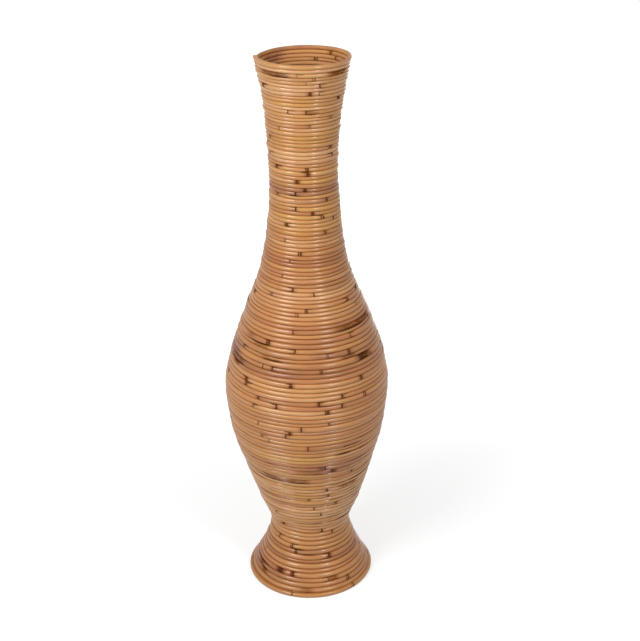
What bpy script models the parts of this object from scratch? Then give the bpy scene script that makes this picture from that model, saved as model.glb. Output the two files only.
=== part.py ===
"""Rattan floor vase: lengths of round cane wound course upon course over a light inner frame.

The cane climbs in one helix from a level foot hoop, clockwise seen from above. It is cut where
each length of cane runs out, and the next length butts against it. Its last course is the rim
hoop, which ends in a step on top of its own start. Inside stand curved uprights,
held apart by hoops and nailed to a board in the foot. Units are metres, +Z is up, and the
origin is the centre of the foot on the floor.
"""
import math

import bmesh
import bpy
import numpy as np

# Outline of the outside: radius and height above the floor of each named place
HEIGHT = 1.000
FOOT_RADIUS = 0.1174
FLARE_HEIGHT = 0.035
FLARE_RADIUS = 0.1003
ANKLE_HEIGHT = 0.060
ANKLE_RADIUS = 0.0876
WAIST_HEIGHT = 0.108
WAIST_RADIUS = 0.0738
HIP_HEIGHT = 0.170
HIP_RADIUS = 0.0944
LOWER_BELLY_HEIGHT = 0.250
LOWER_BELLY_RADIUS = 0.1197
BELLY_HEIGHT = 0.405
BELLY_RADIUS = 0.1475
UNDER_BELLY_HEIGHT = 0.330
UNDER_BELLY_INSET = 0.0067
UPPER_BELLY_HEIGHT = 0.460
UPPER_BELLY_INSET = 0.0093
SHOULDER_HEIGHT = 0.540
SHOULDER_RADIUS = 0.1118
COLLAR_HEIGHT = 0.630
COLLAR_RADIUS = 0.0784
LOWER_NECK_HEIGHT = 0.700
LOWER_NECK_RADIUS = 0.0657
NECK_RADIUS = 0.0594
THROAT_RADIUS = 0.0649
RIM_RADIUS = 0.0822
# The mouth flares over this height, and the neck below it takes up what the vase's height leaves
MOUTH_HEIGHT = 0.100
THROAT_HEIGHT = HEIGHT - MOUTH_HEIGHT
NECK_HEIGHT = (LOWER_NECK_HEIGHT + THROAT_HEIGHT) / 2

# Round cane: its diameter at each height, finest in the throat and thickest at the foot
FOOT_CANE = 0.0090
WAIST_CANE = 0.0086
BELLY_CANE = 0.0081
SHOULDER_CANE = 0.0086
NECK_CANE = 0.0069
THROAT_CANE = 0.0060
RIM_CANE = 0.0069
SHOULDER_CANE_BELOW_SHOULDER = 0.030
NECK_CANE_BELOW_COLLAR = 0.035
NECK_CANE_BELOW_THROAT = 0.040
THROAT_CANE_ABOVE_THROAT = 0.025
# How many equal lengths of cane are wound, about 4 m each
CANE_COUNT = 20
# Depths below the outline, in diameters of the cane: of the groove between two courses, of the
# same groove on the inside where that is ribbed, and of the inside where it is plain
GROOVE_DEPTH = 0.28
INNER_GROOVE_DEPTH = 0.72
PLAIN_INNER_DEPTH = 0.94
# How many lengths of cane below the rim are ribbed on the inside, which shows through the mouth
RIBBED_CANES = 3
# Share of a turn left off the shaved tip at the foot hoop
SCARF_TIP = 0.10

# Clearances between pieces that touch
BUTT_GAP = 0.0003
SEAT_GAP = 0.0004

# Inner frame of split cane and the board that closes the foot
UPRIGHT_COUNT = 5
UPRIGHT_WIDTH = 0.014
UPRIGHT_THICKNESS = 0.004
UPRIGHT_FOOT_CLEARANCE = 0.0045
UPRIGHT_TOP_BELOW_RIM = 0.048
HOOP_WIDTH = 0.012
HOOP_THICKNESS = 0.004
BOARD_THICKNESS = 0.009
BOARD_RECESS = 0.005
BOARD_EDGE_ROUNDING = 0.0012

# Faces: columns round the vase, a multiple of 4 and of the number of uprights
COLUMNS = 20
OUTLINE_STEPS = 2400
INNER_TURNS_PER_FACE = 2
# How far a straight piece of an upright may stand off its curve
UPRIGHT_BOW = 0.0003
HOOP_SEAT_STEPS = 200
# Two points whose heights differ by less are level
LEVEL_TOLERANCE = 1e-6
SMOOTH_ANGLE = math.radians(50)

# Where the winding starts and ends and the hoops' ends butt, in columns round the vase, counted
# from +X and clockwise seen from above
WINDING_START = 4
WINDING_END = 10
FOOT_HOOP_BUTT = 6
FIRST_INNER_HOOP_BUTT = 2
NEXT_INNER_HOOP_BUTT = 3

# Colours of the finishes, linear RGB
HONEY_CANE = (0.440, 0.215, 0.082)
GOLDEN_CANE = (0.510, 0.265, 0.104)
BROWN_CANE = (0.350, 0.155, 0.060)
SPLIT_CANE = (0.560, 0.360, 0.170)
BARE_PLY = (0.520, 0.360, 0.200)
VARNISHED = 0.38
RAW_SPLIT = 0.60
RAW_PLY = 0.70

OUTLINE = (
    (0.0, FOOT_RADIUS),
    (FLARE_HEIGHT, FLARE_RADIUS),
    (ANKLE_HEIGHT, ANKLE_RADIUS),
    (WAIST_HEIGHT, WAIST_RADIUS),
    (HIP_HEIGHT, HIP_RADIUS),
    (LOWER_BELLY_HEIGHT, LOWER_BELLY_RADIUS),
    (UNDER_BELLY_HEIGHT, BELLY_RADIUS - UNDER_BELLY_INSET),
    (BELLY_HEIGHT, BELLY_RADIUS),
    (UPPER_BELLY_HEIGHT, BELLY_RADIUS - UPPER_BELLY_INSET),
    (SHOULDER_HEIGHT, SHOULDER_RADIUS),
    (COLLAR_HEIGHT, COLLAR_RADIUS),
    (LOWER_NECK_HEIGHT, LOWER_NECK_RADIUS),
    (NECK_HEIGHT, NECK_RADIUS),
    (THROAT_HEIGHT, THROAT_RADIUS),
    (HEIGHT, RIM_RADIUS),
)
CANE_BY_HEIGHT = (
    (0.0, FOOT_CANE),
    (WAIST_HEIGHT, WAIST_CANE),
    (BELLY_HEIGHT, BELLY_CANE),
    (SHOULDER_HEIGHT - SHOULDER_CANE_BELOW_SHOULDER, SHOULDER_CANE),
    (COLLAR_HEIGHT - NECK_CANE_BELOW_COLLAR, NECK_CANE),
    (THROAT_HEIGHT - NECK_CANE_BELOW_THROAT, NECK_CANE),
    (THROAT_HEIGHT + THROAT_CANE_ABOVE_THROAT, THROAT_CANE),
    (HEIGHT, RIM_CANE),
)
INNER_HOOPS = {
    "throat_hoop": THROAT_HEIGHT,
    "neck_hoop": LOWER_NECK_HEIGHT,
    "shoulder_hoop": SHOULDER_HEIGHT,
    "belly_hoop": BELLY_HEIGHT,
    "lower_belly_hoop": LOWER_BELLY_HEIGHT,
}


def smooth_radii(heights, radii, at):
    """Cubic pieces through the outline's places, level where the radius turns back."""
    rise = np.diff(heights)
    slope = np.diff(radii) / rise
    tangent = np.zeros(len(heights))
    before, after = slope[:-1], slope[1:]
    weight_before = rise[:-1] + 2 * rise[1:]
    weight_after = 2 * rise[:-1] + rise[1:]
    same_way = before * after > 0
    tangent[1:-1][same_way] = ((weight_before + weight_after)[same_way]
                               / (weight_before / np.where(same_way, before, 1)
                                  + weight_after / np.where(same_way, after, 1))[same_way])
    tangent[0] = slope[0]
    tangent[-1] = slope[-1]
    piece = np.clip(np.searchsorted(heights, at, side="right") - 1, 0, len(rise) - 1)
    t = (at - heights[piece]) / rise[piece]
    return (radii[piece] * (1 + 2 * t) * (1 - t) ** 2
            + tangent[piece] * rise[piece] * t * (1 - t) ** 2
            + radii[piece + 1] * t ** 2 * (3 - 2 * t)
            - tangent[piece + 1] * rise[piece] * t ** 2 * (1 - t))


class Outside:
    """The outline as a curve by its own length, with its outward normal."""

    def __init__(self):
        places = np.array(OUTLINE)
        self.height = np.linspace(0.0, HEIGHT, OUTLINE_STEPS)
        self.radius = smooth_radii(places[:, 0], places[:, 1], self.height)
        step = np.hypot(np.diff(self.radius), np.diff(self.height))
        self.along = np.concatenate([[0.0], np.cumsum(step)])
        self.normal_r = np.gradient(self.height, self.along)
        self.normal_z = -np.gradient(self.radius, self.along)

    def normal(self, along):
        return np.interp(along, self.along, self.normal_r), np.interp(along, self.along, self.normal_z)

    def point(self, along, depth=0.0):
        """Radius and height of a point at this length of the outline and depth below it."""
        r = np.interp(along, self.along, self.radius)
        z = np.interp(along, self.along, self.height)
        normal_r, normal_z = self.normal(along)
        return r - depth * normal_r, z - depth * normal_z

    def along_at(self, height):
        return np.interp(height, self.height, self.along)

    def cane(self, along):
        """Diameter of the cane wound at this length of the outline."""
        heights, diameters = zip(*CANE_BY_HEIGHT)
        return np.interp(np.interp(along, self.along, self.height), heights, diameters)


OUTSIDE = Outside()
FOOT_HOOP_TOP = OUTSIDE.along_at(FOOT_CANE)
# The wall leans out at the rim, so it is the inner corner of the top course that stands highest
RIM_LEAN = -OUTSIDE.normal_z[-1]
RIM_TOP = OUTSIDE.along_at(HEIGHT - INNER_GROOVE_DEPTH * RIM_CANE * RIM_LEAN)


def bearing(column):
    return -column * math.tau / COLUMNS


def on_columns(column, radius, height):
    """Points on the flat faces between whole columns, for columns that need not be whole."""
    low = np.floor(column)
    share = (column - low)[:, None]
    ends = []
    for whole in (low, low + 1):
        angle = bearing(whole)
        ends.append(np.column_stack([radius * np.cos(angle), radius * np.sin(angle), height]))
    return ends[0] * (1 - share) + ends[1] * share


def finish(name, colour, roughness):
    material = bpy.data.materials.new(name)
    material.use_nodes = True
    shader = material.node_tree.nodes["Principled BSDF"]
    shader.inputs["Base Color"].default_value = (*colour, 1.0)
    shader.inputs["Roughness"].default_value = roughness
    shader.inputs["Metallic"].default_value = 0.0
    return material


def add_object(name, mesh, colour, roughness):
    mesh.materials.append(finish(name + "_finish", colour, roughness))
    mesh.shade_smooth()
    mesh.set_sharp_from_angle(angle=SMOOTH_ANGLE)
    bpy.context.scene.collection.objects.link(bpy.data.objects.new(name, mesh))


def mesh_from_bmesh(name, shape):
    bmesh.ops.recalc_face_normals(shape, faces=shape.faces)
    mesh = bpy.data.meshes.new(name)
    shape.to_mesh(mesh)
    shape.free()
    return mesh


def mesh_of(name, points, faces):
    """A mesh of these faces, without the points that no face uses."""
    shape = bmesh.new()
    corners = {index: shape.verts.new(points[index]) for index in sorted(set().union(*faces))}
    for face in faces:
        shape.faces.new([corners[index] for index in face])
    return mesh_from_bmesh(name, shape)


# The winding

def turns_by_length():
    """How many courses lie below each length of the outline, from the foot hoop to the rim.

    The courses are packed as much closer or wider as lets the last one end at its column.
    """
    along = np.linspace(FOOT_HOOP_TOP, RIM_TOP, OUTLINE_STEPS)
    per_metre = 1.0 / OUTSIDE.cane(along)
    steps = np.diff(along) * (per_metre[:-1] + per_metre[1:]) / 2
    turns = np.concatenate([[0.0], np.cumsum(steps)])
    over_whole = (WINDING_END - WINDING_START) / COLUMNS
    last = round(turns[-1] - over_whole) + over_whole
    return along, turns * last / turns[-1]


WOUND_ALONG, WOUND_TURNS = turns_by_length()


def course_edge(column):
    """Where the lower edge of the helix lies, one course below the edge a full turn on.

    It stays level over the first turn, so that this turn tapers to a point on the foot hoop.
    """
    return np.interp((column - WINDING_START) / COLUMNS - 1.0, WOUND_TURNS, WOUND_ALONG)


FIRST_COLUMN = WINDING_START + round(SCARF_TIP * COLUMNS)
LAST_COLUMN = WINDING_START + round(WOUND_TURNS[-1] * COLUMNS)
# The rim hoop goes one column more than once round, so that its end lies on its own start
RIM_COLUMN = LAST_COLUMN - COLUMNS - 1


def cane_ends():
    """Columns where one length of cane ends and the next begins, up to the rim hoop."""
    column = np.arange(FIRST_COLUMN, RIM_COLUMN + 1)
    middle = (course_edge(column) + course_edge(column + COLUMNS)) / 2
    radius, _ = OUTSIDE.point(middle, OUTSIDE.cane(middle) / 2)
    used = np.concatenate([[0.0], np.cumsum(radius[1:] * math.tau / COLUMNS)])
    cuts = np.searchsorted(used, used[-1] * np.arange(1, CANE_COUNT) / CANE_COUNT)
    return [int(end) for end in column[np.concatenate([[0], cuts, [len(column) - 1]])]]


def inner_faces(turn_columns, ribbed, inner, crest):
    """Faces of the inside, and the inner edge points that they keep.

    A ribbed inside shows every course. A plain one spans several courses with each face,
    but keeps the points at both free edges and along the columns where the cane ends.
    """
    faces = []
    if ribbed:
        for i in range(turn_columns):
            upper = i + COLUMNS
            faces.append([inner(upper), inner(upper + 1), crest(i + 1), crest(i)])
            faces.append([crest(i), crest(i + 1), inner(i + 1), inner(i)])
        return faces

    def kept(i):
        turn, column = divmod(i, COLUMNS)
        return (turn % INNER_TURNS_PER_FACE == 0 or i <= COLUMNS or i >= turn_columns
                or column == 0 or column == turn_columns % COLUMNS)

    for strip in range(COLUMNS):
        turns = len(range(strip, turn_columns, COLUMNS))
        for low in range(0, turns, INNER_TURNS_PER_FACE):
            high = min(low + INNER_TURNS_PER_FACE, turns)
            left = [strip + turn * COLUMNS for turn in range(low, high + 1)]
            right = [i + 1 for i in reversed(left)]
            faces.append([inner(i) for i in left + right if kept(i)])
    return faces


def wind_cane(name, start, end, colour, ribbed):
    """One length of cane, its turns side by side, from one column of the helix to another.

    Each course has a groove point at both edges and a crest halfway. The first turn's lower
    edge and the last turn's upper edge are free, and keep half the gap to the next length,
    as both ends do. Nothing lies on the rim.
    """
    turn_columns = end - start
    column = np.arange(start, end + COLUMNS + 1).astype(float)
    along = course_edge(column)
    lower_free = np.arange(len(column)) <= COLUMNS
    upper_free = np.arange(len(column)) >= turn_columns
    gap_above = BUTT_GAP if end < LAST_COLUMN else 0.0
    along = along + BUTT_GAP / 2 * lower_free - gap_above / 2 * upper_free
    cane = OUTSIDE.cane(along)
    groove_r, groove_z = OUTSIDE.point(along, GROOVE_DEPTH * cane)
    inner_depth = INNER_GROOVE_DEPTH if ribbed else PLAIN_INNER_DEPTH
    inner_r, inner_z = OUTSIDE.point(along, inner_depth * cane)
    middle = (along[:turn_columns + 1] + along[COLUMNS:]) / 2
    crest_r, crest_z = OUTSIDE.point(middle)
    inside_r, inside_z = OUTSIDE.point(middle, OUTSIDE.cane(middle))

    edge_column = column.copy()
    crest_column = column[:turn_columns + 1].copy()
    for i, way in ((0, 1), (COLUMNS, 1), (turn_columns, -1), (len(column) - 1, -1)):
        edge_column[i] += way * BUTT_GAP / 2 / (groove_r[i] * math.tau / COLUMNS)
    for i, way in ((0, 1), (turn_columns, -1)):
        crest_column[i] += way * BUTT_GAP / 2 / (crest_r[i] * math.tau / COLUMNS)
    points = np.concatenate([
        on_columns(edge_column, groove_r, groove_z),
        on_columns(edge_column, inner_r, inner_z),
        on_columns(crest_column, crest_r, crest_z),
        on_columns(crest_column, inside_r, inside_z),
    ])

    edges = len(column)

    def groove(i):
        return i

    def inner(i):
        return edges + i

    def crest(i):
        return 2 * edges + i

    def inner_crest(i):
        return 2 * edges + turn_columns + 1 + i

    faces = inner_faces(turn_columns, ribbed, inner, inner_crest)
    for i in range(turn_columns):
        upper = i + COLUMNS
        faces.append([groove(i), groove(i + 1), crest(i + 1), crest(i)])
        faces.append([crest(i), crest(i + 1), groove(upper + 1), groove(upper)])
    for i in range(COLUMNS):
        upper = i + turn_columns
        faces.append([inner(i), inner(i + 1), groove(i + 1), groove(i)])
        faces.append([groove(upper), groove(upper + 1), inner(upper + 1), inner(upper)])
    last = turn_columns
    start_face = [groove(0), crest(0), groove(COLUMNS), inner(COLUMNS), inner(0)]
    end_face = [groove(last), inner(last), inner(last + COLUMNS), groove(last + COLUMNS), crest(last)]
    if ribbed:
        start_face.insert(4, inner_crest(0))
        end_face.insert(2, inner_crest(last))
    faces += [start_face, end_face]
    add_object(name, mesh_of(name, points, faces), colour, VARNISHED)


def wind_vase():
    """All lengths of cane from the foot up, then the rim hoop. The top ones show through the
    mouth, so they are ribbed on the inside too."""
    ends = cane_ends()
    tints = (HONEY_CANE, GOLDEN_CANE, HONEY_CANE, BROWN_CANE)
    for number, (start, end) in enumerate(zip(ends[:-1], ends[1:])):
        name = f"wound_cane_{number + 1:02d}"
        ribbed = number >= CANE_COUNT - RIBBED_CANES
        wind_cane(name, start, end, tints[number % len(tints)], ribbed)
    wind_cane("rim_hoop", RIM_COLUMN, LAST_COLUMN, GOLDEN_CANE, ribbed=True)


# Hoops

def spin_hoop(name, section, butt_column, colour, roughness):
    """A section, given as radius and height in order round it, spun into a hoop whose two
    ends butt at one column with a gap."""
    widest = max(radius for radius, _ in section)
    gap_angle = BUTT_GAP / widest
    angle = bearing(butt_column) + gap_angle / 2
    shape = bmesh.new()
    corners = [shape.verts.new((radius * math.cos(angle), radius * math.sin(angle), height))
               for radius, height in section]
    loop = [shape.edges.new((corners[i - 1], corners[i])) for i in range(len(corners))]
    spun = bmesh.ops.spin(shape, geom=corners + loop, cent=(0, 0, 0), axis=(0, 0, 1),
                          angle=math.tau - gap_angle, steps=COLUMNS)
    last = [item for item in spun["geom_last"] if isinstance(item, bmesh.types.BMEdge)]
    shape.faces.new(corners)
    bmesh.ops.contextual_create(shape, geom=last)
    add_object(name, mesh_from_bmesh(name, shape), colour, roughness)


def foot_hoop():
    """The lowest course: a level hoop of the thickest cane, cut flat where it stands."""
    cane = FOOT_CANE
    centre = FOOT_RADIUS - cane / 2
    top = FOOT_HOOP_TOP - BUTT_GAP / 2
    groove = OUTSIDE.point(top, GROOVE_DEPTH * cane)
    inner = OUTSIDE.point(top, PLAIN_INNER_DEPTH * cane)
    section = [(centre - cane / 4, 0.0), (centre + cane / 4, 0.0), (FOOT_RADIUS, cane / 2), groove, inner]
    spin_hoop("foot_hoop", section, FOOT_HOOP_BUTT, BROWN_CANE, VARNISHED)


# The inner frame and the board

def upright_depth(along):
    """How far the outer face of an upright lies below the outline."""
    return OUTSIDE.cane(along) + SEAT_GAP


def upright_stations():
    """Lengths of the outline where an upright needs a point, closer where it bends more."""
    low = OUTSIDE.along_at(UPRIGHT_FOOT_CLEARANCE)
    while OUTSIDE.point(low, upright_depth(low) + UPRIGHT_THICKNESS)[1] < UPRIGHT_FOOT_CLEARANCE:
        low += UPRIGHT_BOW
    high = OUTSIDE.along_at(HEIGHT - UPRIGHT_TOP_BELOW_RIM)
    along = np.linspace(low, high, OUTLINE_STEPS)
    lean = np.unwrap(np.arctan2(np.interp(along, OUTSIDE.along, OUTSIDE.normal_z),
                                np.interp(along, OUTSIDE.along, OUTSIDE.normal_r)))
    bend = np.abs(np.gradient(lean, along))
    wanted = np.sqrt(bend / (8 * UPRIGHT_BOW))
    count_before = np.concatenate([[0.0], np.cumsum((wanted[1:] + wanted[:-1]) / 2 * np.diff(along))])
    count = math.ceil(count_before[-1])
    return np.interp(np.linspace(0, count_before[-1], count + 1), count_before, along)


def upright(name, column):
    """A split cane that follows the wall, with its flat against the faces at one column."""
    along = upright_stations()
    outer_r, outer_z = OUTSIDE.point(along, upright_depth(along))
    inner_r, inner_z = OUTSIDE.point(along, upright_depth(along) + UPRIGHT_THICKNESS)
    flat = math.cos(math.pi / COLUMNS)
    angle = bearing(column)
    outward = np.array([math.cos(angle), math.sin(angle), 0.0])
    sideways = np.array([-math.sin(angle), math.cos(angle), 0.0]) * UPRIGHT_WIDTH / 2
    upward = np.array([0.0, 0.0, 1.0])
    shape = bmesh.new()
    rows = []
    for r_out, z_out, r_in, z_in in zip(outer_r, outer_z, inner_r, inner_z):
        outer = outward * r_out * flat + upward * z_out
        inner = outward * r_in * flat + upward * z_in
        corners = (outer - sideways, outer + sideways, inner + sideways, inner - sideways)
        rows.append([shape.verts.new(corner) for corner in corners])
    shape.faces.new(rows[0])
    shape.faces.new(rows[-1])
    for below, above in zip(rows[:-1], rows[1:]):
        for i in range(4):
            shape.faces.new((below[i - 1], below[i], above[i], above[i - 1]))
    add_object(name, mesh_from_bmesh(name, shape), SPLIT_CANE, RAW_SPLIT)


def hoop_section(along):
    """A flat section as radius and height, parallel to the wall at this length of the outline.

    Over its width it lies against the place where the uprights' inner face stands in the most.
    """
    normal = np.array(OUTSIDE.normal(along))
    upward = np.array([-normal[1], normal[0]])
    middle = np.array(OUTSIDE.point(along))
    near = np.linspace(along - HOOP_WIDTH, along + HOOP_WIDTH, HOOP_SEAT_STEPS)
    seat = np.column_stack(OUTSIDE.point(near, upright_depth(near) + UPRIGHT_THICKNESS)) - middle
    beside_hoop = np.abs(seat @ upward) <= HOOP_WIDTH / 2
    outer = np.min((seat @ normal)[beside_hoop]) - SEAT_GAP
    corners = ((-1, outer - HOOP_THICKNESS), (-1, outer), (1, outer), (1, outer - HOOP_THICKNESS))
    return [middle + upward * side * HOOP_WIDTH / 2 + normal * depth for side, depth in corners]


def inner_frame():
    for number in range(UPRIGHT_COUNT):
        between_columns = 0.5 + number * COLUMNS / UPRIGHT_COUNT
        upright(f"upright_{number + 1}", between_columns)
    for number, (name, height) in enumerate(INNER_HOOPS.items()):
        butt = FIRST_INNER_HOOP_BUTT + NEXT_INNER_HOOP_BUTT * number
        spin_hoop(name, hoop_section(OUTSIDE.along_at(height)), butt, SPLIT_CANE, RAW_SPLIT)


def foot_board():
    """A round board between the feet of the uprights, clear of the floor."""
    top = BOARD_RECESS + BOARD_THICKNESS
    along = upright_stations()
    inner_r, inner_z = OUTSIDE.point(along, upright_depth(along) + UPRIGHT_THICKNESS)
    radius = np.interp(top, inner_z, inner_r) * math.cos(math.pi / COLUMNS) - SEAT_GAP
    shape = bmesh.new()
    disc = bmesh.ops.create_circle(shape, cap_ends=True, segments=2 * COLUMNS, radius=radius)
    bmesh.ops.translate(shape, verts=disc["verts"], vec=(0, 0, BOARD_RECESS))
    raised = bmesh.ops.extrude_face_region(shape, geom=shape.faces[:])
    lifted = [item for item in raised["geom"] if isinstance(item, bmesh.types.BMVert)]
    bmesh.ops.translate(shape, verts=lifted, vec=(0, 0, BOARD_THICKNESS))
    level_edges = [edge for edge in shape.edges
                   if abs(edge.verts[0].co.z - edge.verts[1].co.z) < LEVEL_TOLERANCE]
    bmesh.ops.bevel(shape, geom=level_edges, offset=BOARD_EDGE_ROUNDING, segments=1, affect="EDGES")
    add_object("foot_board", mesh_from_bmesh("foot_board", shape), BARE_PLY, RAW_PLY)


def build():
    for item in list(bpy.data.objects):
        bpy.data.objects.remove(item, do_unlink=True)
    foot_hoop()
    wind_vase()
    inner_frame()
    foot_board()


build()
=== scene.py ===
"""Looks of the rattan floor vase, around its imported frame.

Every course of cane is a round tube that follows the same helix as the frame's wall, clockwise
seen from above, and the last course is the rim. Its knots, joints, cracks and stains lie on the
cane where the photograph shows them, and where it shows nothing they follow each other at random.
Units are metres, +Z is up, the viewer is at -Y.
"""
import math

import bmesh
import bpy
import numpy as np
from mathutils import Matrix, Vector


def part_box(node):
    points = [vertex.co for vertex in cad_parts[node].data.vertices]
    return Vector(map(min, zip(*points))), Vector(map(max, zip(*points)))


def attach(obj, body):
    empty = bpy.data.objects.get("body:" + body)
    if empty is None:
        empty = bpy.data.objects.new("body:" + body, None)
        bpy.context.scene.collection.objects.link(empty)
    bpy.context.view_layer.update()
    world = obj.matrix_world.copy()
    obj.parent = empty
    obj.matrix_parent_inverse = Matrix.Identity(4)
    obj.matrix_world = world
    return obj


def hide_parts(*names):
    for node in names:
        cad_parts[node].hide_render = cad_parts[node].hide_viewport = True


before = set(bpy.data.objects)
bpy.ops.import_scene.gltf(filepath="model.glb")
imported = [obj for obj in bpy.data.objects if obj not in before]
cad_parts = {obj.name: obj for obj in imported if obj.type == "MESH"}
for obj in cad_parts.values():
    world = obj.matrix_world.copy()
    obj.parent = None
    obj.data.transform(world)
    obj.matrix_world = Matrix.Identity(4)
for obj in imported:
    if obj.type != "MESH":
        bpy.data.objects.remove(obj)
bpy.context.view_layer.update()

# Outline of the wall: height and radius of each named place, as the frame has them
HEIGHT = 1.000
OUTLINE = {
    "foot": (0.0, 0.1174),
    "flare": (0.035, 0.1003),
    "ankle": (0.060, 0.0876),
    "waist": (0.108, 0.0738),
    "hip": (0.170, 0.0944),
    "lower_belly": (0.250, 0.1197),
    "under_belly": (0.330, 0.1408),
    "belly": (0.405, 0.1475),
    "upper_belly": (0.460, 0.1382),
    "shoulder": (0.540, 0.1118),
    "collar": (0.630, 0.0784),
    "lower_neck": (0.700, 0.0657),
    "neck": (0.800, 0.0594),
    "throat": (0.900, 0.0649),
    "rim": (HEIGHT, 0.0822),
}

# How far the vase stands to the right of its axis, by height, because it is wound by hand
SWAY = {
    "foot": (0.0, 0.0006),
    "ankle": (0.060, 0.0012),
    "hip": (0.200, 0.0016),
    "under_belly": (0.310, -0.0016),
    "belly": (0.400, -0.0012),
    "shoulder": (0.498, 0.0008),
    "collar": (0.640, -0.0010),
    "neck": (0.749, 0.0005),
    "upper_neck": (0.830, -0.0009),
    "throat": (0.928, 0.0009),
    "rim": (HEIGHT, 0.0012),
}

# Diameter of the cane by height
FOOT_CANE = 0.0090
RIM_CANE = 0.0069
CANE_BY_HEIGHT = {
    0.0: FOOT_CANE,
    0.108: 0.0086,
    0.405: 0.0081,
    0.510: 0.0086,
    0.595: 0.0069,
    0.860: 0.0069,
    0.925: 0.0060,
    HEIGHT: RIM_CANE,
}
CANE_COUNT = 20
FRAME_COLUMNS = 20
# Where the helix starts and ends, in columns clockwise from +X, and the share of its first turn
# that is left off its tip
WINDING_START, WINDING_END = 4, 10
SCARF_TIP = 0.10
# How deep the frame's grooves lie on the inside of its top course, in diameters of the cane
INNER_GROOVE_DEPTH = 0.72
BUTT_GAP = 0.0003
OUTLINE_STEPS = 2400

# The camera that took the photograph: distance and height from the foot, and angles
PHOTO_WIDTH, PHOTO_HEIGHT = 640, 641
SENSOR = 36.0
FOCAL_PIXELS = 1304.0
CAMERA_DISTANCE = 2.108
CAMERA_HEIGHT = 1.502
CAMERA_PITCH = math.radians(25.0)
CAMERA_YAW = math.radians(-0.663)
CAMERA_ROLL = math.radians(-0.68)
# How finely a pixel's ray is walked, how much nearer and farther than the vase's axis, and how deep
# in the wall it has to come
RAY_STEPS = 3000
RAY_BEFORE, RAY_BEYOND = 0.3, 0.9
INSIDE_WALL = 0.0008

# Fineness of the wound cane
RING_STEP = 0.006
SIDES = 16
EDGE_SAMPLES = 48

random = np.random.default_rng(27)


# The outline and the helix

def smooth_radii(heights, radii, at):
    """Cubic pieces through the outline's places, level where the radius turns back."""
    rise = np.diff(heights)
    slope = np.diff(radii) / rise
    tangent = np.zeros(len(heights))
    before, after = slope[:-1], slope[1:]
    weight_before = rise[:-1] + 2 * rise[1:]
    weight_after = 2 * rise[:-1] + rise[1:]
    same_way = before * after > 0
    tangent[1:-1][same_way] = ((weight_before + weight_after)[same_way]
                               / (weight_before / np.where(same_way, before, 1)
                                  + weight_after / np.where(same_way, after, 1))[same_way])
    tangent[0] = slope[0]
    tangent[-1] = slope[-1]
    piece = np.clip(np.searchsorted(heights, at, side="right") - 1, 0, len(rise) - 1)
    t = (at - heights[piece]) / rise[piece]
    return (radii[piece] * (1 + 2 * t) * (1 - t) ** 2
            + tangent[piece] * rise[piece] * t * (1 - t) ** 2
            + radii[piece + 1] * t ** 2 * (3 - 2 * t)
            - tangent[piece + 1] * rise[piece] * t ** 2 * (1 - t))


class Outside:
    """The outline as a curve by its own length, with its outward normal."""

    def __init__(self):
        places = np.array(list(OUTLINE.values()))
        self.height = np.linspace(0.0, HEIGHT, OUTLINE_STEPS)
        self.radius = smooth_radii(places[:, 0], places[:, 1], self.height)
        step = np.hypot(np.diff(self.radius), np.diff(self.height))
        self.along = np.concatenate([[0.0], np.cumsum(step)])
        self.normal_r = np.gradient(self.height, self.along)
        self.normal_z = -np.gradient(self.radius, self.along)

    def normal(self, along):
        """Outward and upward part of the outward normal at this length of the outline."""
        return np.interp(along, self.along, self.normal_r), np.interp(along, self.along, self.normal_z)

    def point(self, along, depth=0.0):
        """Radius and height of a point at this length of the outline and depth below it."""
        normal_r, normal_z = self.normal(along)
        return (np.interp(along, self.along, self.radius) - depth * normal_r,
                np.interp(along, self.along, self.height) - depth * normal_z)

    def along_at(self, height):
        """Length of the outline from the foot up to a height."""
        return np.interp(height, self.height, self.along)

    def cane(self, along):
        """Diameter of the cane wound at this length of the outline."""
        return np.interp(np.interp(along, self.along, self.height),
                         list(CANE_BY_HEIGHT), list(CANE_BY_HEIGHT.values()))


outside = Outside()
FOOT_HOOP_TOP = outside.along_at(FOOT_CANE)
# The wall leans out at the rim, so it is the inner corner of the frame's top course that is highest
RIM_LEAN = -outside.normal_z[-1]
RIM_TOP = outside.along_at(HEIGHT - INNER_GROOVE_DEPTH * RIM_CANE * RIM_LEAN)

# How many courses lie below each length of the outline, as the frame has them
wound_along = np.linspace(FOOT_HOOP_TOP, RIM_TOP, OUTLINE_STEPS)
courses_per_metre = 1.0 / outside.cane(wound_along)
wound_turns = np.concatenate([[0.0], np.cumsum(
    np.diff(wound_along) * (courses_per_metre[:-1] + courses_per_metre[1:]) / 2)])
over_whole = (WINDING_END - WINDING_START) / FRAME_COLUMNS
wound_turns *= (round(wound_turns[-1] - over_whole) + over_whole) / wound_turns[-1]

# Turns are counted clockwise from +X. The rim goes one column more than once round.
START_TURN = WINDING_START / FRAME_COLUMNS
FIRST_TURN = START_TURN + round(SCARF_TIP * FRAME_COLUMNS) / FRAME_COLUMNS
LAST_TURN = START_TURN + wound_turns[-1]
RIM_TURN = LAST_TURN - 1 - 1 / FRAME_COLUMNS


def level_edge(turn):
    """Lower edge of the helix at a number of turns, level over the first turn."""
    return np.interp(turn - START_TURN - 1.0, wound_turns, wound_along)


def wave(places, spacing, amount):
    """Random numbers of this spread at even spacing, joined by half cosine waves."""
    first = places[0]
    count = int((places[-1] - first) / spacing) + 3
    knots = random.normal(0.0, amount, count)
    share, knot = np.modf((places - first) / spacing)
    knot = knot.astype(int)
    ease = (1 - np.cos(np.pi * share)) / 2
    return knots[knot] * (1 - ease) + knots[knot + 1] * ease


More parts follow.
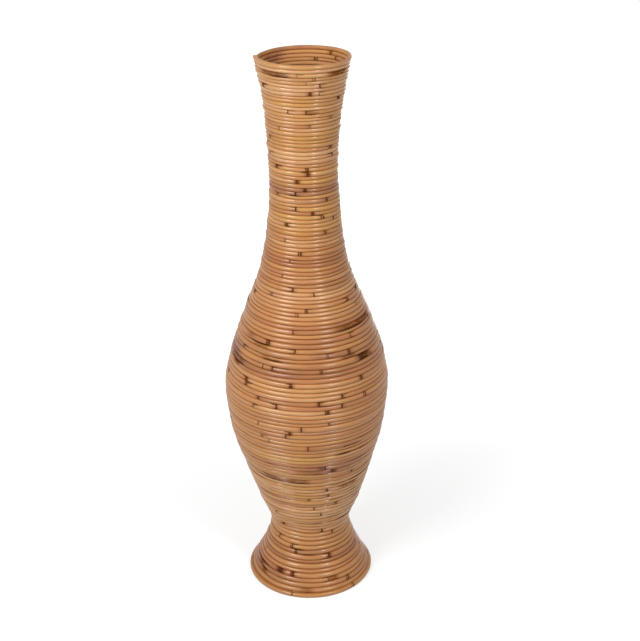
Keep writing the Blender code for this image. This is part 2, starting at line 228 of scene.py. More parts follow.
# Hand winding: the edges between courses wander up and down and the courses stand in and out,
# in waves of these numbers of turns and metres, except against the foot hoop, and less at the rim
EDGE_WAVES = ((0.70, 0.00045), (0.27, 0.00050), (0.09, 0.00018), (0.035, 0.00006))
CREST_WAVES = ((0.23, 0.00045), (0.06, 0.00014))
CALM_TURNS = 1.2
RIM_WANDER = 0.4
all_turns = np.arange(START_TURN, LAST_TURN + 1.0 + 1e-9, 1.0 / (2 * EDGE_SAMPLES))
calm = (np.clip(all_turns - START_TURN - CALM_TURNS, 0, 1)
        * np.interp(all_turns, [LAST_TURN - 3, LAST_TURN - 1], [1.0, RIM_WANDER]))
edge_wander = calm * sum(wave(all_turns, *size) for size in EDGE_WAVES)
crest_wander = calm * sum(wave(all_turns, *size) for size in CREST_WAVES)


def course_edge(turn):
    """Lower edge of the helix with the wander that hand winding leaves."""
    return level_edge(turn) + np.interp(turn, all_turns, edge_wander)


def sway(height):
    """How far the vase leans to the right of its axis at a height."""
    heights, offsets = zip(*SWAY.values())
    return np.interp(height, heights, offsets)


# How much cane is used up to each turn
used_turns = np.arange(FIRST_TURN, LAST_TURN + 1e-9, 1.0 / EDGE_SAMPLES)
used_middle = (level_edge(used_turns) + level_edge(used_turns + 1)) / 2
used_radius = outside.point(used_middle, outside.cane(used_middle) / 2)[0]
used_length = np.concatenate([[0.0], np.cumsum(
    (used_radius[1:] + used_radius[:-1]) / 2 * np.diff(used_turns) * math.tau)])


def length_at(turn):
    """Length of cane used up to a turn."""
    return np.interp(turn, used_turns, used_length)


def turn_at(length):
    """Turn at which a length of cane is used up."""
    return np.interp(length, used_length, used_turns)


def cane_ends():
    """Turns where one length of cane ends and the next begins, on the frame's columns."""
    column = np.arange(round(FIRST_TURN * FRAME_COLUMNS), round(RIM_TURN * FRAME_COLUMNS) + 1)
    turn = column / FRAME_COLUMNS
    middle = (level_edge(turn) + level_edge(turn + 1)) / 2
    radius = outside.point(middle, outside.cane(middle) / 2)[0]
    used = np.concatenate([[0.0], np.cumsum(radius[1:] * math.tau / FRAME_COLUMNS)])
    cuts = np.searchsorted(used, used[-1] * np.arange(1, CANE_COUNT) / CANE_COUNT)
    return turn[np.concatenate([[0], cuts, [len(column) - 1]])]


# The camera

def camera_turn():
    """Camera axes as columns: pitched down, then turned about the vertical, rolled about its view."""
    pitch = Matrix.Rotation(math.pi / 2 - CAMERA_PITCH, 3, "X")
    return Matrix.Rotation(CAMERA_YAW, 3, "Z") @ pitch @ Matrix.Rotation(CAMERA_ROLL, 3, "Z")


def place_camera():
    """The camera that took the photograph."""
    camera = bpy.data.cameras.new("camera")
    camera.lens = FOCAL_PIXELS * SENSOR / PHOTO_HEIGHT
    camera.sensor_width = SENSOR
    stand = bpy.data.objects.new("camera", camera)
    stand.matrix_world = camera_turn().to_4x4()
    stand.location = (0.0, -CAMERA_DISTANCE, CAMERA_HEIGHT)
    bpy.context.scene.collection.objects.link(stand)
    bpy.context.scene.camera = stand


def seen_at(pixels):
    """Bearing, as a share of a turn, and length of the outline of what a photograph's pixel shows.

    Bearings are clockwise from +X, as the helix climbs. Each pixel's ray is walked in small steps
    until it first passes inside the wall. A ray that just misses the wall shows the place that it
    comes nearest to.
    """
    pixels = np.asarray(pixels, float)
    ray = np.column_stack([(pixels[:, 0] - PHOTO_WIDTH / 2) / FOCAL_PIXELS,
                           (PHOTO_HEIGHT / 2 - pixels[:, 1]) / FOCAL_PIXELS,
                           -np.ones(len(pixels))]) @ np.array(camera_turn()).T
    walked = np.linspace(CAMERA_DISTANCE - RAY_BEFORE, CAMERA_DISTANCE + RAY_BEYOND, RAY_STEPS)
    eye = np.array([0.0, -CAMERA_DISTANCE, CAMERA_HEIGHT])
    spot = eye + ray[:, None, :] * walked[None, :, None]
    radius = np.hypot(spot[..., 0] - sway(spot[..., 2]), spot[..., 1])
    clear = radius - np.interp(spot[..., 2], outside.height, outside.radius, left=0, right=0)
    inside = clear < -INSIDE_WALL
    first = np.where(inside.any(axis=1), inside.argmax(axis=1), clear.argmin(axis=1))
    hit = spot[np.arange(len(pixels)), first]
    bearing = -np.arctan2(hit[:, 1], hit[:, 0] - sway(hit[:, 2])) / math.tau
    return bearing % 1.0, outside.along_at(hit[:, 2])


def turn_near(bearing, along):
    """The turn of the helix whose course passes each bearing nearest to a length of the outline."""
    whole = np.arange(0, int(LAST_TURN) + 1)
    turns = whole[None, :] + bearing[:, None]
    middle = (level_edge(turns) + level_edge(turns + 1)) / 2
    nearest = np.argmin(np.abs(middle - along[:, None]), axis=1)
    return turns[np.arange(len(turns)), nearest]


def turn_seen_at(pixels):
    """The turn of the helix whose course passes through each pixel of the photograph."""
    return turn_near(*seen_at(pixels))


# Knots, joints and stains

# The darkest knots and joints that the photograph shows, from the rim down: pixel across, pixel
# down, how deep it is (about 1 for a joint), and on which side its groove is dark (-1 left, 1 right)
RIM_KNOTS = (
    (281, 76, 0.5, 1), (297, 76, 0.5, 1), (315, 80, 0.6, 1), (306, 83, 0.5, 0), (264, 86, 1.0, 1),
    (320, 87, 0.8, 1),
)
THROAT_KNOTS = (
    (310, 96, 1.0, 0), (319, 96, 0.6, 1), (338, 98, 1.0, 0), (306, 112, 0.8, 1),
    (288, 113, 0.8, 1), (331, 117, 0.6, 0), (310, 126, 0.6, -1), (279, 127, 0.7, 0),
)
NECK_KNOTS = (
    (271, 138, 0.7, 0), (331, 145, 0.9, -1), (332, 153, 0.9, -1), (271, 154, 0.7, 1),
    (277, 165, 1.1, 1), (308, 171.5, 0.9, -1), (308, 176, 1.1, -1), (297, 180.5, 1.1, 0),
    (305, 190, 1.1, 0), (295.5, 193, 0.9, -1), (278, 193.5, 0.7, -1), (326.5, 199.5, 1.0, 0),
    (296, 209, 1.0, -1), (313.5, 213.5, 1.0, 1), (323, 215, 0.8, -1), (333, 218, 1.0, 1),
    (287, 224, 0.9, 1), (325, 231, 0.8, 0), (285, 240, 0.7, 0),
)
SHOULDER_KNOTS = (
    (301, 255, 0.9, 0), (290, 261, 0.7, 1), (282, 278, 0.7, 0), (293, 290, 0.9, -1),
    (272, 294, 0.7, 1), (314, 295, 0.8, 0), (347, 299, 0.9, -1), (355, 303, 0.7, 0),
    (307, 311, 0.9, 1), (298, 314, 0.6, -1),
)
BELLY_KNOTS = (
    (349.5, 334, 0.8, 1), (293, 335, 0.9, 0), (244.5, 344, 0.8, 1), (269, 345, 0.9, -1),
    (295, 350, 0.9, -1), (349.5, 350, 1.0, 0), (328, 356, 0.6, 1), (272, 370, 0.9, 1),
    (322, 374, 0.7, 0), (247, 377, 1.1, -1), (361, 379, 1.1, 0), (247, 383, 1.0, 1),
    (291.5, 385, 1.1, -1), (342, 395, 0.9, 1), (365, 395, 0.8, 0), (258, 400, 1.0, 0),
    (253.5, 407, 0.8, 1), (319, 407, 1.0, 1), (342, 408, 0.8, -1), (276.5, 409, 1.0, -1),
)
LOW_KNOTS = (
    (328, 415, 1.0, 0), (329, 426, 0.9, 1), (301.5, 432, 1.1, 0), (290, 435, 1.0, -1),
    (263, 437, 0.7, 1), (286, 438, 0.9, 1), (269, 441, 0.6, 0), (308, 451, 0.8, 0),
    (352, 469.5, 0.9, -1), (325, 470, 1.0, 0), (332, 471.5, 0.9, 0), (275, 478, 0.6, 0),
    (327, 489, 1.2, 0), (328, 497, 0.8, 0), (310, 501, 0.7, 0), (336, 503, 1.0, 0),
    (314, 509, 0.9, 0),
)
FOOT_KNOTS = (
    (277, 511, 0.7, 0), (321, 514, 0.7, 0), (284, 524, 0.9, 0), (322, 530, 0.9, 0),
    (332, 533, 0.9, 0), (280.5, 535, 0.9, 1), (356, 542, 0.6, -1), (293, 545, 0.8, 1),
    (297, 549, 0.9, 1), (329, 556, 1.1, -1), (280, 571, 1.3, 0), (293.5, 572, 1.1, 0),
    (348, 576, 0.9, 0), (328, 577, 0.7, -1), (300, 592, 0.9, 1),
)
KNOTS_SEEN = (RIM_KNOTS + THROAT_KNOTS + NECK_KNOTS + SHOULDER_KNOTS + BELLY_KNOTS + LOW_KNOTS
              + FOOT_KNOTS)

# Knots that it shows inside the mouth: bearing clockwise from +X, height, depth
MOUTH_KNOTS = ((-73, 0.973, 1.0), (-50, 0.984, 1.0))

# Dark streaks that it shows inside the mouth: first and last bearing, height, strength
MOUTH_STREAKS = (
    (-152, -118, 0.984, 0.9), (-156, -122, 0.978, 1.0), (-150, -126, 0.971, 0.9),
    (-166, -140, 0.990, 0.6), (-30, 8, 0.981, 0.5),
)

# Streaks along a course, from the rim down: first and last pixel across, pixel down at the middle,
# and strength
BROWN_STREAKS = (
    (328, 345, 72.5, 1.0), (263, 288, 75.5, 0.7), (306, 318, 112, 0.6), (347, 370, 321, 0.9),
    (337, 366, 325.5, 0.8), (335, 352, 330, 0.6), (249, 256, 334, 0.5), (254, 268, 345, 0.7),
    (231, 242, 352, 0.25), (357, 371, 354, 1.0), (232, 245, 358, 0.5), (342, 356, 358, 0.7),
    (262, 270, 359, 0.6), (234, 241, 360, 0.9), (270, 282, 360, 0.5), (318, 324, 470, 0.6),
    (329, 336, 472, 0.8), (297, 321, 474, 0.35), (266, 281, 477, 0.45), (287, 309, 482, 0.5),
    (341, 355, 483, 0.7), (259, 266, 561, 0.9), (262, 268, 568, 1.0), (276, 284, 571, 1.0),
    (328, 338, 577, 0.9), (300, 313, 590, 0.6),
)
PURPLE_STREAKS = (
    (262, 290, 73, 0.4), (292, 318, 80, 0.4), (270, 340, 188, 0.4), (268, 340, 191.5, 0.8),
    (268, 340, 195.5, 0.7), (300, 341, 199.5, 0.5), (291, 326, 203, 0.4), (255, 262, 268, 0.5),
    (320, 352, 287, 0.4), (345, 356, 290, 0.4), (260, 300, 296, 0.3), (360, 371, 318, 0.8),
    (358, 371, 321, 0.7), (231, 243, 343, 0.9), (236, 248, 346, 0.9), (229, 242, 350, 1.0),
    (318, 328, 351, 0.6), (356, 368, 354, 1.0), (318, 326, 355, 0.6), (322, 336, 356, 0.5),
    (230, 242, 357, 0.9), (341, 358, 358, 0.6), (232, 247, 360, 1.0), (270, 290, 369, 0.5),
    (272, 300, 376, 0.6), (268, 276, 380, 0.5), (304, 336, 433, 0.7), (292, 361, 468, 0.8),
    (317, 338, 471, 0.9), (300, 350, 472, 0.5), (256, 310, 479, 0.6), (303, 345, 553, 0.5),
    (275, 285, 571, 1.0),
)

# Places where two courses have parted: first and last pixel across, pixel down, opening
PARTED_COURSES = (
    (268, 292, 75.5, 0.0012), (306, 318, 112, 0.0007), (286, 300, 194, 0.0007),
    (338, 366, 324, 0.0011), (250, 269, 341, 0.0011), (356, 367, 353, 0.0011),
    (231, 246, 357, 0.0015), (262, 282, 358, 0.0010), (316, 336, 406, 0.0006),
    (342, 361, 443, 0.0024), (336, 352, 452, 0.0014), (312, 330, 474, 0.0008),
    (256, 288, 477, 0.0013), (284, 312, 483, 0.0013), (338, 357, 483, 0.0020),
    (290, 306, 548, 0.0008), (256, 270, 553, 0.0010), (300, 316, 553, 0.0006),
    (258, 272, 560, 0.0012), (262, 268, 565, 0.0013),
)

# Paler, yellower, redder and darker stretches, in the same way as the streaks
PALE_STREAKS = (
    (262, 300, 71, 0.8), (262, 335, 74, 0.6), (272, 300, 88, 0.6), (268, 320, 91, 0.9),
    (268, 318, 95, 0.8), (280, 334, 104, 0.5), (272, 300, 116, 0.6), (270, 300, 122, 0.5),
    (285, 335, 142, 0.6), (285, 335, 147, 0.6), (270, 300, 179, 0.6), (268, 300, 200, 0.4),
    (275, 330, 220, 0.5), (270, 310, 248, 0.5), (275, 315, 248, 0.8), (255, 320, 302, 0.4),
    (240, 300, 332, 0.4), (232, 262, 372, 0.7), (372, 384, 376, 0.8), (232, 248, 378, 0.6),
    (372, 384, 383, 0.8), (240, 262, 386, 0.7), (240, 262, 391, 0.7), (255, 345, 395, 0.9),
    (255, 345, 399, 1.0), (240, 330, 413, 0.8), (270, 350, 418, 0.6), (245, 300, 428, 0.5),
    (262, 345, 437, 0.6), (262, 345, 442, 0.7), (250, 350, 447, 0.6), (320, 345, 484, 0.8),
    (300, 340, 486, 0.4), (318, 345, 493, 0.8), (305, 345, 499, 0.9), (305, 345, 505, 0.9),
    (300, 345, 510, 0.9), (290, 345, 515, 0.9), (295, 345, 519, 0.9), (300, 345, 523, 0.8),
    (300, 345, 527, 0.8), (275, 345, 539, 0.5), (255, 300, 556, 0.5), (270, 330, 566, 0.5),
    (262, 350, 581, 0.5), (280, 345, 586, 0.7),
)
GOLDEN_STREAKS = (
    (308, 325, 89, 0.9), (270, 300, 105, 0.6), (300, 322, 140, 0.8), (300, 340, 180, 0.6),
    (282, 322, 220, 0.9), (280, 310, 235, 0.6), (255, 285, 347, 0.7), (240, 270, 405, 0.6),
    (262, 335, 459, 0.9), (262, 332, 464, 0.8), (268, 315, 487, 0.9), (270, 300, 538, 0.6),
)
RUSSET_STREAKS = (
    (269, 300, 133, 0.4), (300, 338, 150, 0.5), (280, 330, 178, 0.4), (290, 340, 206, 0.5),
    (262, 340, 216, 0.7), (266, 300, 230, 0.4), (290, 312, 236, 0.7), (262, 345, 255, 0.6),
    (262, 345, 262, 1.0), (262, 345, 267, 1.0), (262, 345, 281, 0.8), (255, 300, 290, 0.5),
    (300, 352, 306, 0.4), (245, 290, 320, 0.4), (300, 370, 341, 0.6), (270, 345, 365, 0.5),
    (300, 370, 406, 0.9), (250, 300, 421, 0.5), (255, 330, 441, 0.4), (300, 355, 463, 0.5),
    (255, 300, 466, 0.6), (268, 310, 471, 0.6), (275, 340, 494, 0.5), (280, 340, 516, 0.5),
    (270, 340, 548, 0.5), (258, 300, 575, 0.5), (300, 350, 583, 0.5),
)
DIM_STREAKS = (
    (318, 338, 80, 0.8), (290, 316, 103, 0.6), (320, 345, 122, 0.5), (320, 340, 132, 0.5),
    (285, 315, 196, 0.5), (268, 300, 198, 0.5), (262, 340, 216, 0.5), (262, 345, 257, 0.5),
    (262, 345, 262, 0.7), (262, 345, 267, 0.9), (262, 345, 281, 0.9), (255, 345, 305, 0.6),
    (255, 300, 313, 0.9), (318, 350, 313, 0.5), (250, 300, 330, 0.4), (255, 345, 347, 0.5),
    (315, 350, 354, 0.9), (250, 300, 355, 0.8), (290, 345, 366, 0.6), (240, 276, 368, 0.7),
    (285, 345, 371, 0.6), (240, 276, 374, 0.6), (295, 350, 375, 0.8), (280, 345, 379, 0.6),
    (262, 300, 468, 0.9), (246, 292, 470, 0.8), (320, 350, 473, 0.8), (250, 300, 476, 0.6),
    (250, 292, 492, 0.7), (252, 290, 500, 0.9), (256, 288, 507, 0.9), (262, 300, 547, 0.6),
    (320, 345, 556, 0.6), (256, 290, 564, 0.8), (260, 295, 573, 1.0),
)

# Where the photograph shows no knots, they follow each other at a random spacing. The streaks there
# have a shortest and a longest length, a lowest and a highest strength or opening, and a number.
HIDDEN_KNOT_SPACING = (0.20, 0.50)
HIDDEN_KNOT_DEPTH = (0.4, 1.1)
MOST_HIDDEN_KNOTS = 600
HIDDEN_PURPLE = (0.03, 0.30, 0.2, 0.9, 70)
HIDDEN_BROWN = (0.01, 0.06, 0.4, 1.0, 70)
HIDDEN_GOLDEN = (0.05, 0.4, 0.3, 0.9, 70)
HIDDEN_TONE = (0.1, 0.8, 0.3, 0.9, 70)
HIDDEN_PARTED = (0.02, 0.07, 0.0006, 0.0013, 36)
# Bearing of the viewer, and how far towards it a bearing has to face to show its knots well
VIEWER_BEARING = 0.25
WELL_SEEN = 0.30

# The second line of a knot: how far it is from the first, and how many knots have one
TWIN_GAP = (0.0026, 0.0044)
TWIN_SHARE = 0.40

# How much the cane changes from one knot to the next, and the dirt and painted groove shade from one
# knot to another
STRETCH_TONE = 0.38
STRETCH_RUSSET = (-0.15, 0.32)
STRETCH_GOLD = (0.0, 0.8)
STRETCH_GROOVES = (0.15, 1.0)
SOIL_SPREAD = 0.2
# The soil of a knot that is seen grows with its depth, from none on a shallow one
SOIL_PER_DEPTH, SOIL_START = 1.2, -0.5


def mouth_turns(streaks):
    """First and last turn and the strength of streaks inside the mouth."""
    rows = np.array(streaks)
    middle = (rows[:, 0] + rows[:, 1]) / 2 / 360
    half = (rows[:, 1] - rows[:, 0]) / 2 / 360
    turn = turn_near(middle % 1.0, outside.along_at(rows[:, 2]))
    return np.column_stack([turn - half, turn + half, rows[:, 3]])


def streak_turns(streaks):
    """First and last turn and the strength of streaks seen along a course."""
    rows = np.array(streaks, float)
    middle = turn_seen_at(np.column_stack([(rows[:, 0] + rows[:, 1]) / 2, rows[:, 2]]))
    reach = []
    for end in (0, 1):
        bearing, _ = seen_at(np.column_stack([rows[:, end], rows[:, 2]]))
        reach.append(middle + (bearing - middle + 0.5) % 1.0 - 0.5)
    return np.column_stack([np.minimum(*reach), np.maximum(*reach), rows[:, 3]])


def in_photo(turn):
    """Whether the photograph shows this bearing well enough to read the knots there."""
    return np.cos((turn - VIEWER_BEARING) * math.tau) > WELL_SEEN


def with_hidden(seen, shortest, longest, weakest, strongest, count):
    """The streaks that the photograph shows, and others at random where it shows none."""
    start = random.uniform(0, used_length[-1], count)
    end = start + random.uniform(shortest, longest, count)
    rows = np.column_stack([turn_at(start), turn_at(end), random.uniform(weakest, strongest, count)])
    hidden = rows[~in_photo(rows[:, 0]) & ~in_photo(rows[:, 1])]
    return np.concatenate([seen, hidden])


def strongest_at(turn, streaks, soft):
    """Strength of the strongest of these streaks at each turn, fading out over a soft length."""
    first, last, strength = streaks.T
    here = length_at(turn)[:, None]
    beyond = np.maximum(length_at(first)[None, :] - here, here - length_at(last)[None, :])
    fade = 1 + np.exp(np.clip(beyond / soft, -FADED_OUT, FADED_OUT))
    return np.max(strength[None, :] / fade, axis=1)


def parting_at(turn):
    """How far the edge below each turn has opened."""
    first, last, opening = parted.T
    here = length_at(turn)[:, None]
    middle = (length_at(first) + length_at(last)) / 2
    half = (length_at(last) - length_at(first)) / 2
    reach = np.clip(1 - ((here - middle[None, :]) / half[None, :]) ** 2, 0, None)
    return np.max(opening[None, :] * np.sqrt(reach), axis=1)


def all_knots():
    """Turn, depth, dark side and soil of the knots that are seen, and of those at random elsewhere.

    The dark side is -1 towards the helix's foot and 1 towards the rim, which is to the left in
    front. A deep knot has the most soil.
    """
    seen = np.array(KNOTS_SEEN, float)
    mouth = np.array(MOUTH_KNOTS)
    inside = turn_near(mouth[:, 0] / 360 % 1.0, outside.along_at(mouth[:, 1]))
    turns = np.concatenate([turn_seen_at(seen[:, :2]), inside])
    seen_depths = np.concatenate([seen[:, 2], mouth[:, 2]])
    seen_sides = np.concatenate([-seen[:, 3], np.zeros(len(mouth))])
    places = np.cumsum(random.uniform(*HIDDEN_KNOT_SPACING, size=MOST_HIDDEN_KNOTS))
    hidden = turn_at(places[places < used_length[-1]])
    hidden = hidden[~in_photo(hidden)]
    turns = np.concatenate([turns, hidden])
    depths = np.concatenate([seen_depths, random.uniform(*HIDDEN_KNOT_DEPTH, len(hidden))])
    sides = np.concatenate([seen_sides, random.choice([-1, 0, 1], len(hidden))])
    order = np.argsort(turns)
    soil = np.concatenate([SOIL_PER_DEPTH * seen_depths + SOIL_START,
                           random.uniform(0, 1, len(hidden))])
    return turns[order], depths[order], sides[order], soil[order]


purple = with_hidden(np.concatenate([streak_turns(PURPLE_STREAKS), mouth_turns(MOUTH_STREAKS)]),
                     *HIDDEN_PURPLE)
brown = with_hidden(streak_turns(BROWN_STREAKS), *HIDDEN_BROWN)
pale = with_hidden(streak_turns(PALE_STREAKS), *HIDDEN_TONE)
golden = with_hidden(streak_turns(GOLDEN_STREAKS), *HIDDEN_GOLDEN)
russet = with_hidden(streak_turns(RUSSET_STREAKS), *HIDDEN_TONE)
dim = with_hidden(streak_turns(DIM_STREAKS), *HIDDEN_TONE)
parted = with_hidden(streak_turns(PARTED_COURSES), *HIDDEN_PARTED)
knot_turns, knot_depths, knot_sides, knot_soil = all_knots()
knot_lengths = length_at(knot_turns)
knot_count = len(knot_turns)
knot_twins = random.uniform(*TWIN_GAP, knot_count) * (random.random(knot_count) < TWIN_SHARE)
knot_soil = np.clip(knot_soil + random.normal(0.0, SOIL_SPREAD, knot_count), 0, 1)
stretch_tones = random.normal(0.0, STRETCH_TONE, knot_count + 1)
stretch_russet = np.clip(random.normal(*STRETCH_RUSSET, knot_count + 1), 0, 1)
stretch_gold = random.uniform(*STRETCH_GOLD, knot_count + 1)
stretch_grooves = random.uniform(*STRETCH_GROOVES, knot_count + 1)

# How much dirt and painted shade the grooves keep, and how much paler than elsewhere the cane is,
# by height: partly its own tone, partly painted light and shade for how brightly each height is lit
GROOVE_DIRT_AND_SHADE = {
    0.0: 0.9, 0.08: 1.1, 0.12: 1.2, 0.155: 1.2, 0.20: 2.5, 0.27: 2.6, 0.33: 1.5, 0.45: 1.5,
    0.60: 1.0, 0.72: 0.80, HEIGHT: 0.80,
}
# Partly the cane's own tone and partly painted light and shade for how brightly each height is lit
PALENESS_AND_PAINTED_LIGHT = {
    0.0: -0.90, 0.04: -0.75, 0.07: -0.50, 0.11: 0.95, 0.16: 1.15, 0.24: 0.42, 0.28: -0.10,
    0.36: -0.40, 0.42: -0.35, 0.45: -0.20, 0.48: -0.85, 0.53: -0.35, 0.66: 0.10, 0.69: 0.70,
    0.72: 0.65, 0.745: 0.20, 0.77: -0.10, 0.80: 0.45, 0.83: 0.60, 0.85: 0.30, 0.88: -0.10,
    0.91: 0.75, 0.96: 0.95, HEIGHT: 0.65,
}
# How much more golden than elsewhere the cane is, by height
GOLDENNESS = {
    0.0: 0.0, 0.11: 0.20, 0.18: 0.35, 0.28: 0.35, 0.36: 0.05, 0.60: 0.05, 0.70: 0.35,
    HEIGHT: 0.35,
}
# How rough the varnish is, by height
DULLNESS = {
    0.0: 0.15, 0.10: 0.13, 0.18: 0.08, 0.28: 0.10, 0.36: 0.19, 0.50: 0.19, 0.62: 0.13, 0.75: 0.09,
}
# How far two courses must have parted for the darkest crack
DEEP_CRACK = 0.0013
# How much more painted shade the grooves get on the right, the less lit side, than in front and on the
# left
PAINTED_SHADE_ON_THE_RIGHT = 1.2
# How much less dirt and painted shade the grooves of pale stretches keep
LESS_GROOVE_DARKENING_WHERE_PALE = 0.7
# How strongly the pale and dim streaks change the tone, and how golden the stretches are
TONE_OF_STREAKS = 1.2
GOLD_OF_STRETCHES = 0.3
# Length over which the streaks fade out at their ends
TONE_FADE, GOLD_FADE, PURPLE_FADE, BROWN_FADE = 0.020, 0.010, 0.004, 0.002
# How many such lengths away nothing is left of a streak
FADED_OUT = 30


def by_height(height, table):
    """Value at a height, on straight lines between a table's entries."""
    return np.interp(height, list(table), list(table.values()))


# Meshes

def add_piece(name, points, faces, corner_uv, attributes, material):
    """A closed mesh from points, faces, a UV pair for each face corner and a number per point."""
    mesh = bpy.data.meshes.new(name)
    mesh.from_pydata(points.tolist(), [], faces)
    layer = mesh.uv_layers.new(name="surface")
    layer.data.foreach_set("uv", np.asarray(corner_uv, np.float32).ravel())
    for label, numbers in attributes.items():
        mesh.attributes.new(label, "FLOAT", "POINT").data.foreach_set(
            "value", np.asarray(numbers, np.float32).ravel())
    mesh.shade_smooth()
    mesh.materials.append(material)
    shape = bmesh.new()
    shape.from_mesh(mesh)
    bmesh.ops.recalc_face_normals(shape, faces=shape.faces)
    shape.to_mesh(mesh)
    shape.free()
    piece = bpy.data.objects.new(name, mesh)
    bpy.context.scene.collection.objects.link(piece)
    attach(piece, "root")
    return piece


def add_tube(name, centre, out, up, half_out, half_up, along, material, numbers=None,
             squareness=0.0, sides=SIDES):
    """A tube round a line, closed at both ends.

    Its point at angle a lies at centre + out * half_out * cos(a) + up * half_up * sin(a), pushed
    out towards a rectangle's corners as squareness grows. Its UV is the length along the tube in
    metres and the share of the way round.
    """
    angle = np.arange(sides) * math.tau / sides
    cosine, sine = np.cos(angle), np.sin(angle)
    power = 2 + squareness
    reach = (np.abs(cosine) ** power + np.abs(sine) ** power) ** (-1 / power)
    points = (centre[:, None, :]
              + out[:, None, :] * (half_out[:, None] * (cosine * reach)[None, :])[..., None]
              + up[:, None, :] * (half_up[:, None] * (sine * reach)[None, :])[..., None])
    rings = len(centre)
    ring, side = np.divmod(np.arange((rings - 1) * sides), sides)
    corners = ((ring, side), (ring + 1, side), (ring + 1, side + 1), (ring, side + 1))
    faces = np.column_stack([r * sides + s % sides for r, s in corners]).tolist()
    faces += [list(range(sides)), list(range((rings - 1) * sides, rings * sides))]
    walls = np.stack([np.column_stack([along[r], s / sides]) for r, s in corners], axis=1)
    ends = [np.full((sides, 2), (where, 0.5)) for where in (along[0], along[-1])]
    corner_uv = np.concatenate([walls.reshape(-1, 2), *ends])
    attributes = {label: np.repeat(value, sides) for label, value in (numbers or {}).items()}
    return add_piece(name, points.reshape(-1, 3), faces, corner_uv, attributes, material)


def on_wall(turn, radius, height, normal_r, normal_z):
    """Point on the swaying wall, its outward and its upward direction, for each turn."""
    _, radius, height, normal_r, normal_z = np.broadcast_arrays(turn, radius, height,
                                                                normal_r, normal_z)
    cosine, sine = np.cos(-turn * math.tau), np.sin(-turn * math.tau)
    centre = np.column_stack([radius * cosine + sway(height), radius * sine, height])
    out = np.column_stack([normal_r * cosine, normal_r * sine, normal_z])
    up = np.column_stack([-normal_z * cosine, -normal_z * sine, normal_r])
    return centre, out, up


# Rings of points on both sides of a knot, and from an end of a cane with its thickness there
BESIDE_KNOT = np.array([0.0004, 0.0009, 0.0016, 0.0026, 0.0038, 0.0055, 0.008, 0.012])
KNOT_RINGS = np.concatenate([-BESIDE_KNOT[::-1], [0.0], BESIDE_KNOT])
END_RINGS = np.array([0.0, 0.0003, 0.0007, 0.0013, 0.0022])
END_SHARES = np.array([0.60, 0.80, 0.92, 0.98, 1.0])
CUT_LENGTH = 0.0015
KNOT_FROM_END = 0.004
KNOT_SWELL, KNOT_SWELL_REACH = 0.025, 0.0045
KNOT_NOTCH, KNOT_NOTCH_REACH = 0.20, 0.0007
SHALLOWEST_NOTCH = 0.2
# How far from a knot its marks may reach
KNOT_MARKS_REACH = 0.06
COURSE_OVERLAP = 1.012
COURSE_SQUARENESS = 0.60
# Where round the cane the dirt and painted shade of its grooves start, as the sine of the angle from
# its outside, and where they do on an overhang of this much, with more painted shade under the course
# above
GROOVE_START, OVERHANG_SHADE_START = 0.86, 0.45
OVERHANG = 0.3
# How a level hoop stands in and out: number of waves round it, phase and share of its thickness
HOOP_WAVES = ((3, 1.0, 0.015), (7, 0.0, 0.010))


def groove_start(normal_z):
    """Where the dirt and painted shade of the grooves start on a wall with this upward part of its
    normal.
    """
    return np.interp(-normal_z, [0.0, OVERHANG], [GROOVE_START, OVERHANG_SHADE_START])


